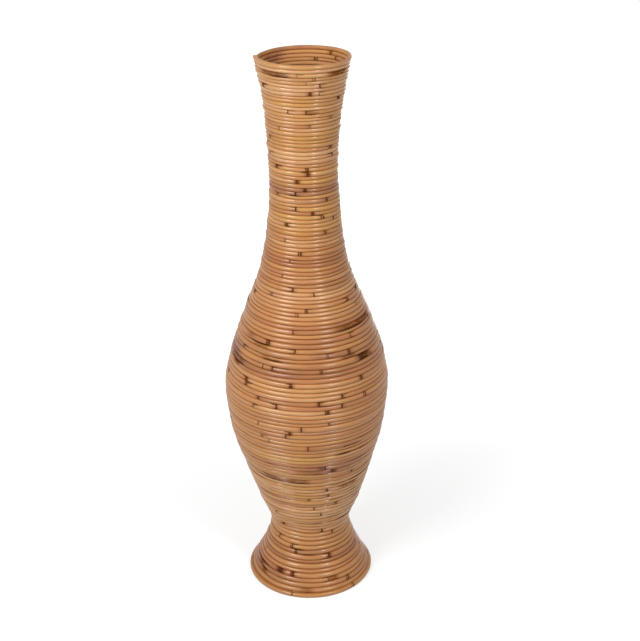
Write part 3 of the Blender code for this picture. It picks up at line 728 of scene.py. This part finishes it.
def wind_length(name, start, end, material):
    """One length of cane from its first turn to its last, as a tube with its knots.

    The centre lies half a diameter below the outline, halfway between the two edges of its
    course. At a knot the cane swells a little and has a fine notch round it. At its ends it
    narrows over the last two millimetres.
    """
    first, last = length_at(start) + BUTT_GAP / 2, length_at(end) - BUTT_GAP / 2
    here = knot_lengths[(knot_lengths > first + KNOT_FROM_END)
                        & (knot_lengths < last - KNOT_FROM_END)]
    rings = [np.arange(first, last, RING_STEP), (here[:, None] + KNOT_RINGS).ravel(),
             first + END_RINGS, last - END_RINGS]
    along = np.unique(np.round(np.clip(np.concatenate(rings), first, last), 5))
    turn = turn_at(along)
    lower = course_edge(turn) + parting_at(turn) / 2
    upper = course_edge(turn + 1) - parting_at(turn + 1) / 2
    middle = (lower + upper) / 2
    nearest = np.clip(np.searchsorted(knot_lengths, along), 1, len(knot_lengths) - 1)
    nearest = nearest - (along - knot_lengths[nearest - 1] < knot_lengths[nearest] - along)
    off = along - knot_lengths[nearest]
    depth = knot_depths[nearest]
    swell = 1 + KNOT_SWELL * depth * np.exp(-(off / KNOT_SWELL_REACH) ** 2)
    notch = 1 - (KNOT_NOTCH * np.clip(depth - SHALLOWEST_NOTCH, 0, 1)
                 * np.exp(-(off / KNOT_NOTCH_REACH) ** 2))
    from_end = np.minimum(along - first, last - along)
    narrow = np.interp(from_end, END_RINGS, END_SHARES)
    half_up = (upper - lower) / 2 * COURSE_OVERLAP * swell * notch * narrow
    half_out = half_up + (outside.cane(middle) / 2 * notch * narrow - half_up) / 2
    sink = outside.cane(middle) / 2 - np.interp(turn, all_turns, crest_wander)
    radius, height = outside.point(middle, sink)
    centre, out, up = on_wall(turn, radius, height, *outside.normal(middle))
    stretch = np.searchsorted(knot_lengths, along)
    paler = strongest_at(turn, pale, TONE_FADE)
    numbers = {
        "knot_off": np.clip(np.abs(off), 0, KNOT_MARKS_REACH),
        "knot_way": knot_sides[nearest] * np.sign(off),
        "knot_after": np.sign(off),
        "knot_depth": depth,
        "knot_twin": knot_twins[nearest],
        "knot_soil": knot_soil[nearest],
        # The tone includes painted light and shade by height
        "tone": (stretch_tones[stretch] + by_height(height, PALENESS_AND_PAINTED_LIGHT)
                 + TONE_OF_STREAKS * (paler - strongest_at(turn, dim, TONE_FADE))),
        "russet": np.clip(stretch_russet[stretch] + strongest_at(turn, russet, TONE_FADE), 0, 1),
        "gold": np.clip(by_height(height, GOLDENNESS) + GOLD_OF_STRETCHES * stretch_gold[stretch]
                        + strongest_at(turn, golden, GOLD_FADE), 0, 1),
        # Darkening of the grooves: dirt and painted shade, with more painted shade on the less lit
        # right
        "grooves": (stretch_grooves[stretch] * by_height(height, GROOVE_DIRT_AND_SHADE)
                    * (1 + PAINTED_SHADE_ON_THE_RIGHT * np.clip(np.cos(turn * math.tau), 0, 1))
                    * (1 - LESS_GROOVE_DARKENING_WHERE_PALE * paler)),
        "groove_start": groove_start(outside.normal(middle)[1]),
        "purple": strongest_at(turn, purple, PURPLE_FADE),
        "soot": strongest_at(turn, brown, BROWN_FADE),
        "crack_below": np.clip(parting_at(turn) / DEEP_CRACK, 0, 1),
        "crack_above": np.clip(parting_at(turn + 1) / DEEP_CRACK, 0, 1),
        "dull": by_height(height, DULLNESS),
        "cut_end": np.clip(1 - from_end / CUT_LENGTH, 0, 1),
    }
    return add_tube(name, centre, out, up, half_out, half_up, along, material, numbers,
                    COURSE_SQUARENESS)


def level_hoop(name, radius, height, half, butt_turn, material, tones, knots):
    """A level hoop of round cane whose two ends butt at one bearing.

    It stands in and out a little, in waves round the vase, and keeps its height, so that the
    vase stands flat and the helix lies on it. Its knots are places, as shares of the way round,
    and depths, and it has a tone for each stretch between them.
    """
    length = radius * math.tau
    step = RING_STEP / 2
    along = np.concatenate([END_RINGS, np.arange(step, length - step, step),
                            length - BUTT_GAP - END_RINGS])
    along = np.unique(np.round(along, 5))
    turn = butt_turn + (along + BUTT_GAP / 2) / length
    from_end = np.minimum(along - along[0], along[-1] - along)
    narrow = np.interp(from_end, END_RINGS, END_SHARES)
    wide = 1 + sum(share * np.sin(turn * math.tau * waves + phase)
                   for waves, phase, share in HOOP_WAVES)
    centre, out, up = on_wall(turn, radius, height, 1.0, 0.0)
    places = np.array([place for place, _ in knots]) * length
    depths = np.array([depth for _, depth in knots])
    nearest = np.argmin(np.abs(along[:, None] - places[None, :]), axis=1)
    off = along - places[nearest]
    stretch = np.searchsorted(places, along)
    everywhere = {"knot_way": 0.0, "knot_twin": 0.0, "knot_soil": 0.5, "russet": 0.0, "gold": 0.3,
                  "grooves": 0.6, "groove_start": GROOVE_START, "purple": 0.0, "soot": 0.0,
                  "crack_below": 0.0, "crack_above": 0.0, "dull": DULLNESS[0.0]}
    numbers = {label: np.full(len(along), number) for label, number in everywhere.items()}
    numbers |= {
        "knot_off": np.clip(np.abs(off), 0, KNOT_MARKS_REACH),
        "knot_after": np.sign(off),
        "knot_depth": depths[nearest],
        "tone": np.array(tones)[stretch],
        "cut_end": np.clip(1 - from_end / CUT_LENGTH, 0, 1),
    }
    return add_tube(name, centre, out, up, half * narrow * wide, half * narrow, along, material,
                    numbers, COURSE_SQUARENESS)


# Materials

# Sockets of a node that mixes colours: the share, both colours and the result
MIX_SHARE, MIX_A, MIX_B, MIX_RESULT = 0, 6, 7, 2
# Each noise: its scale along a cane, round it and across, or in x, y and z, detail and roughness
NOISES = {
    "drift": ((8.0, 8.0, 8.0), 2.0, 0.5),
    "mottle": ((18.0, 2.0, 1.0), 3.0, 0.5),
    "fibre": ((30.0, 26.0, 1.0), 4.0, 0.65),
    "fleck": ((150.0, 6.0, 1.0), 2.0, 0.5),
    "stain": ((45.0, 3.0, 1.0), 3.0, 0.5),
    "groove": ((26.0, 2.0, 1.0), 3.0, 0.5),
    "smear": ((110.0, 4.0, 1.0), 4.0, 0.65),
    "ragged": ((330.0, 5.0, 1.0), 2.0, 0.5),
    "spots": ((480.0, 8.0, 1.0), 3.0, 0.75),
    "uneven": ((90.0, 3.0, 1.0), 2.0, 0.5),
    "split_fibre": ((9.0, 40.0, 1.0), 4.0, 0.65),
    "split_cloud": ((9.0, 2.0, 1.0), 3.0, 0.5),
    "ply_grain": ((90.0, 9.0, 60.0), 4.0, 0.6),
}


def new_material(name):
    material = bpy.data.materials.new(name)
    material.use_nodes = True
    return material, material.node_tree, material.node_tree.nodes["Principled BSDF"]


def set_or_link(tree, socket, value):
    if isinstance(value, bpy.types.NodeSocket):
        tree.links.new(value, socket)
    elif value is not None:
        socket.default_value = value


def calc(tree, operation, a, b=None, c=None):
    node = tree.nodes.new("ShaderNodeMath")
    node.operation = operation
    for socket, value in zip(node.inputs, (a, b, c)):
        set_or_link(tree, socket, value)
    return node.outputs[0]


def product(tree, first, *others):
    """The product of numbers and sockets."""
    for other in others:
        first = calc(tree, "MULTIPLY", first, other)
    return first


def step_between(tree, value, low, high, start=0.0, end=1.0):
    """Smooth change from start to end while value goes from low to high."""
    node = tree.nodes.new("ShaderNodeMapRange")
    node.interpolation_type = "SMOOTHSTEP"
    for socket, setting in zip(node.inputs, (value, low, high, start, end)):
        set_or_link(tree, socket, setting)
    return node.outputs[0]


def blend_colour(tree, share, a, b, kind="MIX"):
    """Colour a where the share is 0, and b mixed in or multiplied as it grows to 1."""
    node = tree.nodes.new("ShaderNodeMix")
    node.data_type = "RGBA"
    node.blend_type = kind
    node.clamp_factor = True
    set_or_link(tree, node.inputs[MIX_SHARE], share)
    for socket, value in ((MIX_A, a), (MIX_B, b)):
        colour = (*value, 1.0) if isinstance(value, tuple) else value
        set_or_link(tree, node.inputs[socket], colour)
    return node.outputs[MIX_RESULT]


def attribute(tree, name):
    node = tree.nodes.new("ShaderNodeAttribute")
    node.attribute_name = name
    return node.outputs["Fac"]


def noise(tree, vector, kind):
    """Noise of a kind, from 0 to 1."""
    scale, detail, roughness = NOISES[kind]
    spread = tree.nodes.new("ShaderNodeMapping")
    set_or_link(tree, spread.inputs["Vector"], vector)
    spread.inputs["Scale"].default_value = scale
    node = tree.nodes.new("ShaderNodeTexNoise")
    tree.links.new(spread.outputs[0], node.inputs["Vector"])
    node.inputs["Scale"].default_value = 1.0
    node.inputs["Detail"].default_value = detail
    node.inputs["Roughness"].default_value = roughness
    return node.outputs["Fac"]


def coordinates(tree, kind):
    return tree.nodes.new("ShaderNodeTexCoord").outputs[kind]


def bump(tree, height, strength, distance, shader):
    """Relief on a shader from heights between 0 and 1, this distance apart in metres."""
    node = tree.nodes.new("ShaderNodeBump")
    node.inputs["Strength"].default_value = strength
    node.inputs["Distance"].default_value = distance
    tree.links.new(height, node.inputs["Height"])
    tree.links.new(node.outputs[0], shader.inputs["Normal"])


# The varnished cane: clean cane of five tones, its stains and marks, the dirt and painted shade of
# its grooves with a redder painted bounce light beside them, and its bare inside, which is painted a
# little paler, partly as painted light inside the mouth
HONEY = (0.475, 0.210, 0.072)
GOLD = (0.530, 0.275, 0.072)
PALE = (0.610, 0.342, 0.160)
CARAMEL = (0.310, 0.118, 0.038)
RUSSET = (0.400, 0.145, 0.052)
MAUVE = (0.240, 0.082, 0.050)
SCAR = (0.150, 0.042, 0.004)
BURNT = (0.040, 0.013, 0.009)
# Brown of the grooves' dirt and painted shade, and of the stains beside knots
GROOVE = (0.155, 0.047, 0.010)
# Painted light: the redder tint of light bounced between neighbouring courses
PAINTED_BOUNCE_TINT = (0.93, 0.80, 0.64)
# Colour of the inside: unvarnished cane, partly painted light inside the mouth
INSIDE = (0.480, 0.232, 0.088)
# Raw split cane and its fibres, and plywood with its pale and dark grain and the glue of its plies
SPLIT_BROWN = (0.430, 0.245, 0.105)
SPLIT_PALE = (0.580, 0.375, 0.185)
SPLIT_FIBRE = (0.300, 0.155, 0.062)
PLY_BROWN = (0.430, 0.285, 0.150)
PLY_PALE = (0.600, 0.435, 0.255)
PLY_GLUE = (0.300, 0.180, 0.090)

# The marks of a knot: how far from its middle each is gone, and up to where it is full
KNOT_LINE = (0.0017, 0.0008)
TWIN_LINE = (0.0015, 0.0006)
KNOT_FLUSH = (0.045, 0.004)
KNOT_HALO = (0.0105, 0.0010)
KNOT_GROOVE = (0.015, 0.006)
# How far beside a knot its dark groove starts and is full, and how ragged its marks are
BESIDE_LINE = (0.0002, 0.0008)
RAGGEDNESS = 0.0030


def way_round(tree, surface):
    """Angle round the cane: 0 on the outside, a quarter of a turn on top, half inside the vase."""
    split = tree.nodes.new("ShaderNodeSeparateXYZ")
    tree.links.new(surface, split.inputs[0])
    return calc(tree, "MULTIPLY", split.outputs["Y"], math.tau)


def clean_cane(tree, surface, mottle, fibre):
    """Colour of clean cane: it changes from stretch to stretch, and drifts and mottles along it."""
    drift = noise(tree, coordinates(tree, "Object"), "drift")
    lift = calc(tree, "ADD", attribute(tree, "tone"), calc(tree, "MULTIPLY_ADD", drift, 2.0, -1.0))
    lift = calc(tree, "ADD", lift, calc(tree, "MULTIPLY_ADD", mottle, 2.6, -1.3))
    colour = blend_colour(tree, attribute(tree, "gold"), HONEY, GOLD)
    colour = blend_colour(tree, product(tree, attribute(tree, "russet"), 0.7), colour, RUSSET)
    colour = blend_colour(tree, step_between(tree, lift, 0.0, 1.7, 0.0, 0.85), colour, PALE)
    colour = blend_colour(tree, step_between(tree, lift, 0.0, -1.7, 0.0, 0.85), colour, CARAMEL)

    # Fibres and short dark flecks run along the cane
    shade = step_between(tree, fibre, 0.35, 0.75, 0.90, 1.10)
    colour = blend_colour(tree, 1.0, colour, shade, "MULTIPLY")
    fleck = noise(tree, surface, "fleck")
    return blend_colour(tree, step_between(tree, fleck, 0.66, 0.78, 0.0, 0.6), colour, CARAMEL)


def knot_marks(tree, surface, colour, sine, along_groove):
    """The colour with the stains beside the knots, and the marks of the knots.

    A knot has a dark ragged line round the cane, often a second one, dark blotches and a brown
    stain beside them, and a dark groove on one side.
    """
    ragged = noise(tree, surface, "ragged")
    ragged = calc(tree, "MULTIPLY_ADD", ragged, RAGGEDNESS, -RAGGEDNESS / 2)
    near = calc(tree, "ABSOLUTE", calc(tree, "ADD", attribute(tree, "knot_off"), ragged))
    depth = attribute(tree, "knot_depth")
    soil = attribute(tree, "knot_soil")
    after = step_between(tree, attribute(tree, "knot_after"), 0.0, 0.5)
    twin = attribute(tree, "knot_twin")
    strength = step_between(tree, depth, 0.25, 0.95)
    line = product(tree, step_between(tree, near, *KNOT_LINE), strength)
    second = calc(tree, "ABSOLUTE", calc(tree, "SUBTRACT", near, twin))
    second = product(tree, step_between(tree, second, *TWIN_LINE), after,
                     calc(tree, "GREATER_THAN", twin, 0.001), strength)
    spots = noise(tree, surface, "spots")
    spots = calc(tree, "SUBTRACT", calc(tree, "ADD", spots, product(tree, soil, depth, 0.23)),
                 product(tree, near, 62.0))
    spots = step_between(tree, spots, 0.53, 0.60)
    flush = product(tree, step_between(tree, near, *KNOT_FLUSH), after, soil, 0.45)
    colour = blend_colour(tree, flush, colour, RUSSET)
    halo = product(tree, step_between(tree, near, *KNOT_HALO), depth, soil, 0.70)
    colour = blend_colour(tree, halo, colour, GROOVE)
    way = product(tree, near, attribute(tree, "knot_way"))
    beyond = product(tree, step_between(tree, way, *BESIDE_LINE),
                     step_between(tree, near, *KNOT_GROOVE))
    shut = product(tree, step_between(tree, sine, 0.40, 0.75), beyond, depth,
                   step_between(tree, along_groove, 0.30, 0.55))
    return colour, line, second, spots, shut


def cane_material():
    """Varnished round cane, in the cane's own coordinates: length along it and share round it."""
    material, tree, shader = new_material("varnished_cane")
    surface = coordinates(tree, "UV")
    round_cane = way_round(tree, surface)
    mottle = noise(tree, surface, "mottle")
    fibre = noise(tree, surface, "fibre")
    colour = clean_cane(tree, surface, mottle, fibre)

    # Inside the vase the cane is dull and painted paler, partly as unvarnished cane and partly as
    # painted light inside the mouth
    inner = step_between(tree, calc(tree, "COSINE", round_cane), -0.25, -0.60)
    colour = blend_colour(tree, product(tree, inner, 0.7), colour, INSIDE)

    # Purple stains
    blotch = step_between(tree, noise(tree, surface, "stain"), 0.20, 0.65, 0.35, 1.0)
    stain = product(tree, attribute(tree, "purple"), blotch)
    colour = blend_colour(tree, product(tree, stain, 0.8), colour, MAUVE)

    # Where a course meets its neighbours, a quarter and three quarters of the way round, it is
    # painted redder as painted bounce light between the courses, and the groove is painted brown as
    # dirt together with painted shade
    upward = calc(tree, "SINE", round_cane)
    sine = calc(tree, "ABSOLUTE", upward)
    colour = blend_colour(tree, step_between(tree, sine, 0.30, 0.95), colour, PAINTED_BOUNCE_TINT, "MULTIPLY")
    along_groove = noise(tree, surface, "groove")
    groove_dirt_and_shade_mask = product(tree, step_between(tree, sine, attribute(tree, "groove_start"), 0.995),
                        step_between(tree, along_groove, 0.30, 0.70, 0.10, 1.0),
                        attribute(tree, "grooves"))
    colour = blend_colour(tree, product(tree, groove_dirt_and_shade_mask, 0.9), colour, GROOVE)

    # The marks of knots, brown smears along a course and the dark cracks beside parted courses
    colour, line, second, spots, shut = knot_marks(tree, surface, colour, sine, along_groove)
    smear = noise(tree, surface, "smear")
    smear = calc(tree, "ADD", smear, product(tree, sine, sine, 0.22))
    soot = product(tree, attribute(tree, "soot"), step_between(tree, smear, 0.40, 0.56, 0.45, 1.0))
    above = product(tree, attribute(tree, "crack_above"), step_between(tree, upward, 0.58, 0.90))
    below = product(tree, attribute(tree, "crack_below"), step_between(tree, upward, -0.58, -0.90))
    crack = product(tree, calc(tree, "MAXIMUM", above, below),
                    step_between(tree, along_groove, 0.25, 0.50, 0.3, 1.0))
    mark = attribute(tree, "cut_end")
    for other in (shut, soot, spots, second, line, crack):
        mark = calc(tree, "MAXIMUM", mark, other)
    colour = blend_colour(tree, mark, colour, SCAR)
    burnt = product(tree, mark, stain, 0.85)
    for other, share in ((crack, 0.70), (line, 0.40), (second, 0.35), (shut, 0.20)):
        burnt = calc(tree, "MAXIMUM", burnt, product(tree, other, share))
    colour = blend_colour(tree, burnt, colour, BURNT)
    tree.links.new(colour, shader.inputs["Base Color"])

    # Varnish: none inside, in the grooves and on the marks
    bare = calc(tree, "MAXIMUM", product(tree, groove_dirt_and_shade_mask, 0.6), mark)
    rough = calc(tree, "MULTIPLY_ADD", mottle, 0.20, 0.34)
    tree.links.new(calc(tree, "MULTIPLY_ADD", bare, 0.3, rough), shader.inputs["Roughness"])
    tree.links.new(calc(tree, "MULTIPLY_ADD", bare, -0.12, 0.14), shader.inputs["Specular IOR Level"])
    varnish = calc(tree, "SUBTRACT", 1.0, calc(tree, "MAXIMUM", inner, bare))
    tree.links.new(product(tree, varnish, step_between(tree, mottle, 0.25, 0.75, 1.0, 0.65)),
                   shader.inputs["Coat Weight"])
    tree.links.new(calc(tree, "MULTIPLY_ADD", along_groove, 0.14, attribute(tree, "dull")),
                   shader.inputs["Coat Roughness"])

    # Fibres stand out a little and the lines of knots are sunk
    uneven = product(tree, noise(tree, surface, "uneven"), 0.5)
    relief = calc(tree, "MULTIPLY_ADD", fibre, 0.30, uneven)
    bump(tree, calc(tree, "SUBTRACT", relief, line), 0.35, 0.0004, shader)
    return material


def split_cane_material():
    """Raw split cane, in the strip's own coordinates: clouds and fibres along it."""
    material, tree, shader = new_material("split_cane")
    surface = coordinates(tree, "UV")
    fibre = noise(tree, surface, "split_fibre")
    cloud = noise(tree, surface, "split_cloud")
    colour = blend_colour(tree, step_between(tree, cloud, 0.3, 0.7), SPLIT_BROWN, SPLIT_PALE)
    colour = blend_colour(tree, step_between(tree, fibre, 0.5, 0.8, 0.0, 0.6), colour, SPLIT_FIBRE)
    tree.links.new(colour, shader.inputs["Base Color"])
    tree.links.new(step_between(tree, fibre, 0.3, 0.7, 0.52, 0.72), shader.inputs["Roughness"])
    bump(tree, fibre, 0.5, 0.0003, shader)
    return material


def board_material():
    """Raw plywood: grain on its faces and plies round its edge."""
    material, tree, shader = new_material("bare_plywood")
    place = coordinates(tree, "Object")
    grain = noise(tree, place, "ply_grain")
    ply = tree.nodes.new("ShaderNodeTexWave")
    ply.bands_direction = "Z"
    ply.inputs["Scale"].default_value = 90.0
    ply.inputs["Distortion"].default_value = 0.6
    tree.links.new(place, ply.inputs["Vector"])
    colour = blend_colour(tree, step_between(tree, grain, 0.3, 0.7), PLY_BROWN, PLY_PALE)
    colour = blend_colour(tree, product(tree, ply.outputs["Fac"], 0.25), colour, PLY_GLUE)
    tree.links.new(colour, shader.inputs["Base Color"])
    tree.links.new(step_between(tree, grain, 0.3, 0.7, 0.66, 0.80), shader.inputs["Roughness"])
    bump(tree, grain, 0.4, 0.0003, shader)
    return material


# The pieces

FOOT_BUTT = 6 / FRAME_COLUMNS
FOOT_TONES = (-0.2, -0.5, 0.2, -0.1)
FOOT_KNOT_PLACES = ((0.21, 0.8), (0.48, 0.7), (0.83, 0.9))

# The strips of split cane inside the wall
SEAT_GAP = 0.0004
UPRIGHT_COUNT = 5
UPRIGHT_WIDTH = 0.014
UPRIGHT_THICKNESS = 0.004
UPRIGHT_FOOT_CLEARANCE = 0.0045
UPRIGHT_TOP_BELOW_RIM = 0.048
UPRIGHT_RINGS = 400
UPRIGHT_TIP_RINGS, UPRIGHT_TIP_SHARES = (0.0, 0.001, 0.003), (0.6, 0.9, 1.0)
HOOP_WIDTH = 0.012
HOOP_THICKNESS = 0.004
HOOP_RINGS = 240
# Place of the outline that each hoop lies at, and its node
INNER_HOOPS = {
    "throat": "throat_hoop",
    "lower_neck": "neck_hoop",
    "shoulder": "shoulder_hoop",
    "belly": "belly_hoop",
    "lower_belly": "lower_belly_hoop",
}
FIRST_INNER_HOOP_BUTT = 2
NEXT_INNER_HOOP_BUTT = 3
STRIP_SQUARENESS = 3.0
STRIP_SIDES = 20


def wound_wall(material):
    """The lengths of cane from the foot up, and the rim at the helix's end."""
    ends = cane_ends()
    for number, (start, end) in enumerate(zip(ends[:-1], ends[1:]), start=1):
        piece = wind_length(f"cane_{number:02d}", start, end, material)
        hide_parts(f"wound_cane_{number:02d}")
    rim = wind_length("rim_course", RIM_TURN, LAST_TURN, material)
    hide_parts("rim_hoop")


def foot_course(material):
    """The lowest course, level, which the vase stands on."""
    foot = level_hoop("foot_course", OUTLINE["foot"][1] - FOOT_CANE / 2, FOOT_CANE / 2, FOOT_CANE / 2,
                      FOOT_BUTT, material, FOOT_TONES, FOOT_KNOT_PLACES)
    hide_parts("foot_hoop")


def add_strip(name, node, centre, out, across, half_out, half_across, along, material):
    """A strip of split cane with rounded edges, for a node of the inner frame."""
    strip = add_tube(name, centre, out, across, half_out, half_across, along, material, None,
                     STRIP_SQUARENESS, STRIP_SIDES)
    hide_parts(node)


def uprights(material):
    """Strips that follow the inside of the wall, each narrower at its ends."""
    flat = math.cos(math.pi / FRAME_COLUMNS)
    along = np.linspace(outside.along_at(UPRIGHT_FOOT_CLEARANCE + UPRIGHT_THICKNESS),
                        outside.along_at(HEIGHT - UPRIGHT_TOP_BELOW_RIM), UPRIGHT_RINGS)
    radius, height = outside.point(along, outside.cane(along) + SEAT_GAP + UPRIGHT_THICKNESS / 2)
    from_end = np.minimum(along - along[0], along[-1] - along)
    tip = np.interp(from_end, UPRIGHT_TIP_RINGS, UPRIGHT_TIP_SHARES)
    for number in range(UPRIGHT_COUNT):
        turn = np.full(len(along), (0.5 + number * FRAME_COLUMNS / UPRIGHT_COUNT) / FRAME_COLUMNS)
        centre, out, _ = on_wall(turn, radius * flat, height, *outside.normal(along))
        angle = -turn * math.tau
        sideways = np.column_stack([-np.sin(angle), np.cos(angle), np.zeros(len(turn))])
        add_strip(f"upright_strip_{number + 1}", f"upright_{number + 1}", centre, out, sideways,
                  tip * UPRIGHT_THICKNESS / 2, tip * UPRIGHT_WIDTH / 2, along, material)


def inner_hoops(material):
    """Hoops inside the uprights, as wide and as high as the frame has them."""
    for number, (place, node) in enumerate(INNER_HOOPS.items()):
        low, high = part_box(node)
        normal_r, normal_z = outside.normal(outside.along_at(OUTLINE[place][0]))
        outer = high[0] - abs(normal_z) * HOOP_WIDTH / 2
        radius = outer - HOOP_THICKNESS / 2 * normal_r
        length = radius * math.tau
        along = np.linspace(0, length - BUTT_GAP, HOOP_RINGS)
        butt = (FIRST_INNER_HOOP_BUTT + NEXT_INNER_HOOP_BUTT * number) / FRAME_COLUMNS
        centre, out, up = on_wall(butt + along / length, radius, (low[2] + high[2]) / 2,
                                  normal_r, normal_z)
        add_strip(f"{place}_hoop_strip", node, centre, out, up, np.full(HOOP_RINGS, HOOP_THICKNESS / 2),
                  np.full(HOOP_RINGS, HOOP_WIDTH / 2), along, material)


def dress_board():
    """The board keeps its solid and only gets its material."""
    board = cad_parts["foot_board"]
    board.data.materials.clear()
    board.data.materials.append(board_material())


# Floor and light

FLOOR_REACH = 12.0
FLOOR_GREY = 0.42
# How much the floor is lifted to white near the vase and far from it, and where the change lies
NEAR_LIFT, FAR_LIFT = 0.62, 0.90
LIFT_START, LIFT_END = 0.2, 1.4
# How much of the white of the floor and of the backdrop the varnish mirrors
MIRRORED_WHITE = 0.5
WORLD_STRENGTH = 0.36
LIGHT_DISTANCE = 2.1
# Bearing from the viewer's side, width, height, height of its middle and radiance of each light
LEFT_LIGHT = (math.radians(-44), 1.05, 1.30, 1.75, 10.8)
RIGHT_LIGHT = (math.radians(36.5), 0.38, 1.30, 1.75, 16.0)
BACK_LIGHT = (math.radians(175), 1.60, 0.95, 0.47, 3.6)
TOP_LIGHT_SIZE = 1.4
TOP_LIGHT_HEIGHT = 2.9
TOP_LIGHT_RADIANCE = 1.0


def area_light(name, width, height, radiance, place, turn):
    """A rectangular light, whose power follows from its radiance and size."""
    lamp = bpy.data.lights.new(name, "AREA")
    lamp.shape = "RECTANGLE"
    lamp.size, lamp.size_y = width, height
    lamp.energy = radiance * width * height * math.pi
    box = bpy.data.objects.new(name, lamp)
    box.location = place
    box.rotation_euler = turn
    bpy.context.scene.collection.objects.link(box)


def softbox(name, bearing, width, height, middle, radiance):
    """A tall rectangular light at a bearing from the viewer's side, turned to the vase."""
    place = (LIGHT_DISTANCE * math.sin(bearing), -LIGHT_DISTANCE * math.cos(bearing), middle)
    tilt = math.atan2(middle - HEIGHT / 2, LIGHT_DISTANCE)
    area_light(name, width, height, radiance, place, (math.pi / 2 - tilt, 0.0, bearing))


def seen_or_mirrored(tree):
    """1 where the camera sees a surface, less where the varnish mirrors it, 0 for its light."""
    path = tree.nodes.new("ShaderNodeLightPath")
    mirrored = calc(tree, "MAXIMUM", path.outputs["Is Glossy Ray"], path.outputs["Is Transmission Ray"])
    return calc(tree, "MAXIMUM", path.outputs["Is Camera Ray"], product(tree, mirrored, MIRRORED_WHITE))


def white_floor():
    """A pale floor that keeps the vase's shadow and is white to the camera elsewhere."""
    mesh = bpy.data.meshes.new("floor")
    reach = FLOOR_REACH
    mesh.from_pydata([(-reach, -reach, 0), (reach, -reach, 0), (reach, reach, 0), (-reach, reach, 0)],
                     [], [(0, 1, 2, 3)])
    floor = bpy.data.objects.new("floor", mesh)
    bpy.context.scene.collection.objects.link(floor)
    material, tree, shader = new_material("white_floor")
    shader.inputs["Base Color"].default_value = (FLOOR_GREY, FLOOR_GREY, FLOOR_GREY, 1.0)
    shader.inputs["Roughness"].default_value = 0.9
    shader.inputs["Specular IOR Level"].default_value = 0.0
    shader.inputs["Emission Color"].default_value = (1.0, 1.0, 1.0, 1.0)
    away = tree.nodes.new("ShaderNodeVectorMath")
    away.operation = "LENGTH"
    tree.links.new(coordinates(tree, "Object"), away.inputs[0])
    lift = step_between(tree, away.outputs["Value"], LIFT_START, LIFT_END, NEAR_LIFT, FAR_LIFT)
    tree.links.new(product(tree, seen_or_mirrored(tree), lift), shader.inputs["Emission Strength"])
    mesh.materials.append(material)


def studio():
    """White surroundings and four softboxes: to the left, to the right, behind and above."""
    world = bpy.data.worlds.new("studio")
    world.use_nodes = True
    tree = world.node_tree
    back = tree.nodes["Background"]
    back.inputs["Color"].default_value = (1.0, 1.0, 1.0, 1.0)
    lift = calc(tree, "MULTIPLY_ADD", seen_or_mirrored(tree), 1.0 - WORLD_STRENGTH, WORLD_STRENGTH)
    tree.links.new(lift, back.inputs["Strength"])
    bpy.context.scene.world = world
    softbox("left_softbox", *LEFT_LIGHT)
    softbox("right_softbox", *RIGHT_LIGHT)
    softbox("back_softbox", *BACK_LIGHT)
    area_light("top_softbox", TOP_LIGHT_SIZE, TOP_LIGHT_SIZE, TOP_LIGHT_RADIANCE,
               (0.0, 0.0, TOP_LIGHT_HEIGHT), (0.0, 0.0, 0.0))
    bpy.context.scene.view_settings.view_transform = "Standard"


place_camera()
cane = cane_material()
wound_wall(cane)
foot_course(cane)
raw_cane = split_cane_material()
uprights(raw_cane)
inner_hoops(raw_cane)
dress_board()
white_floor()
studio()
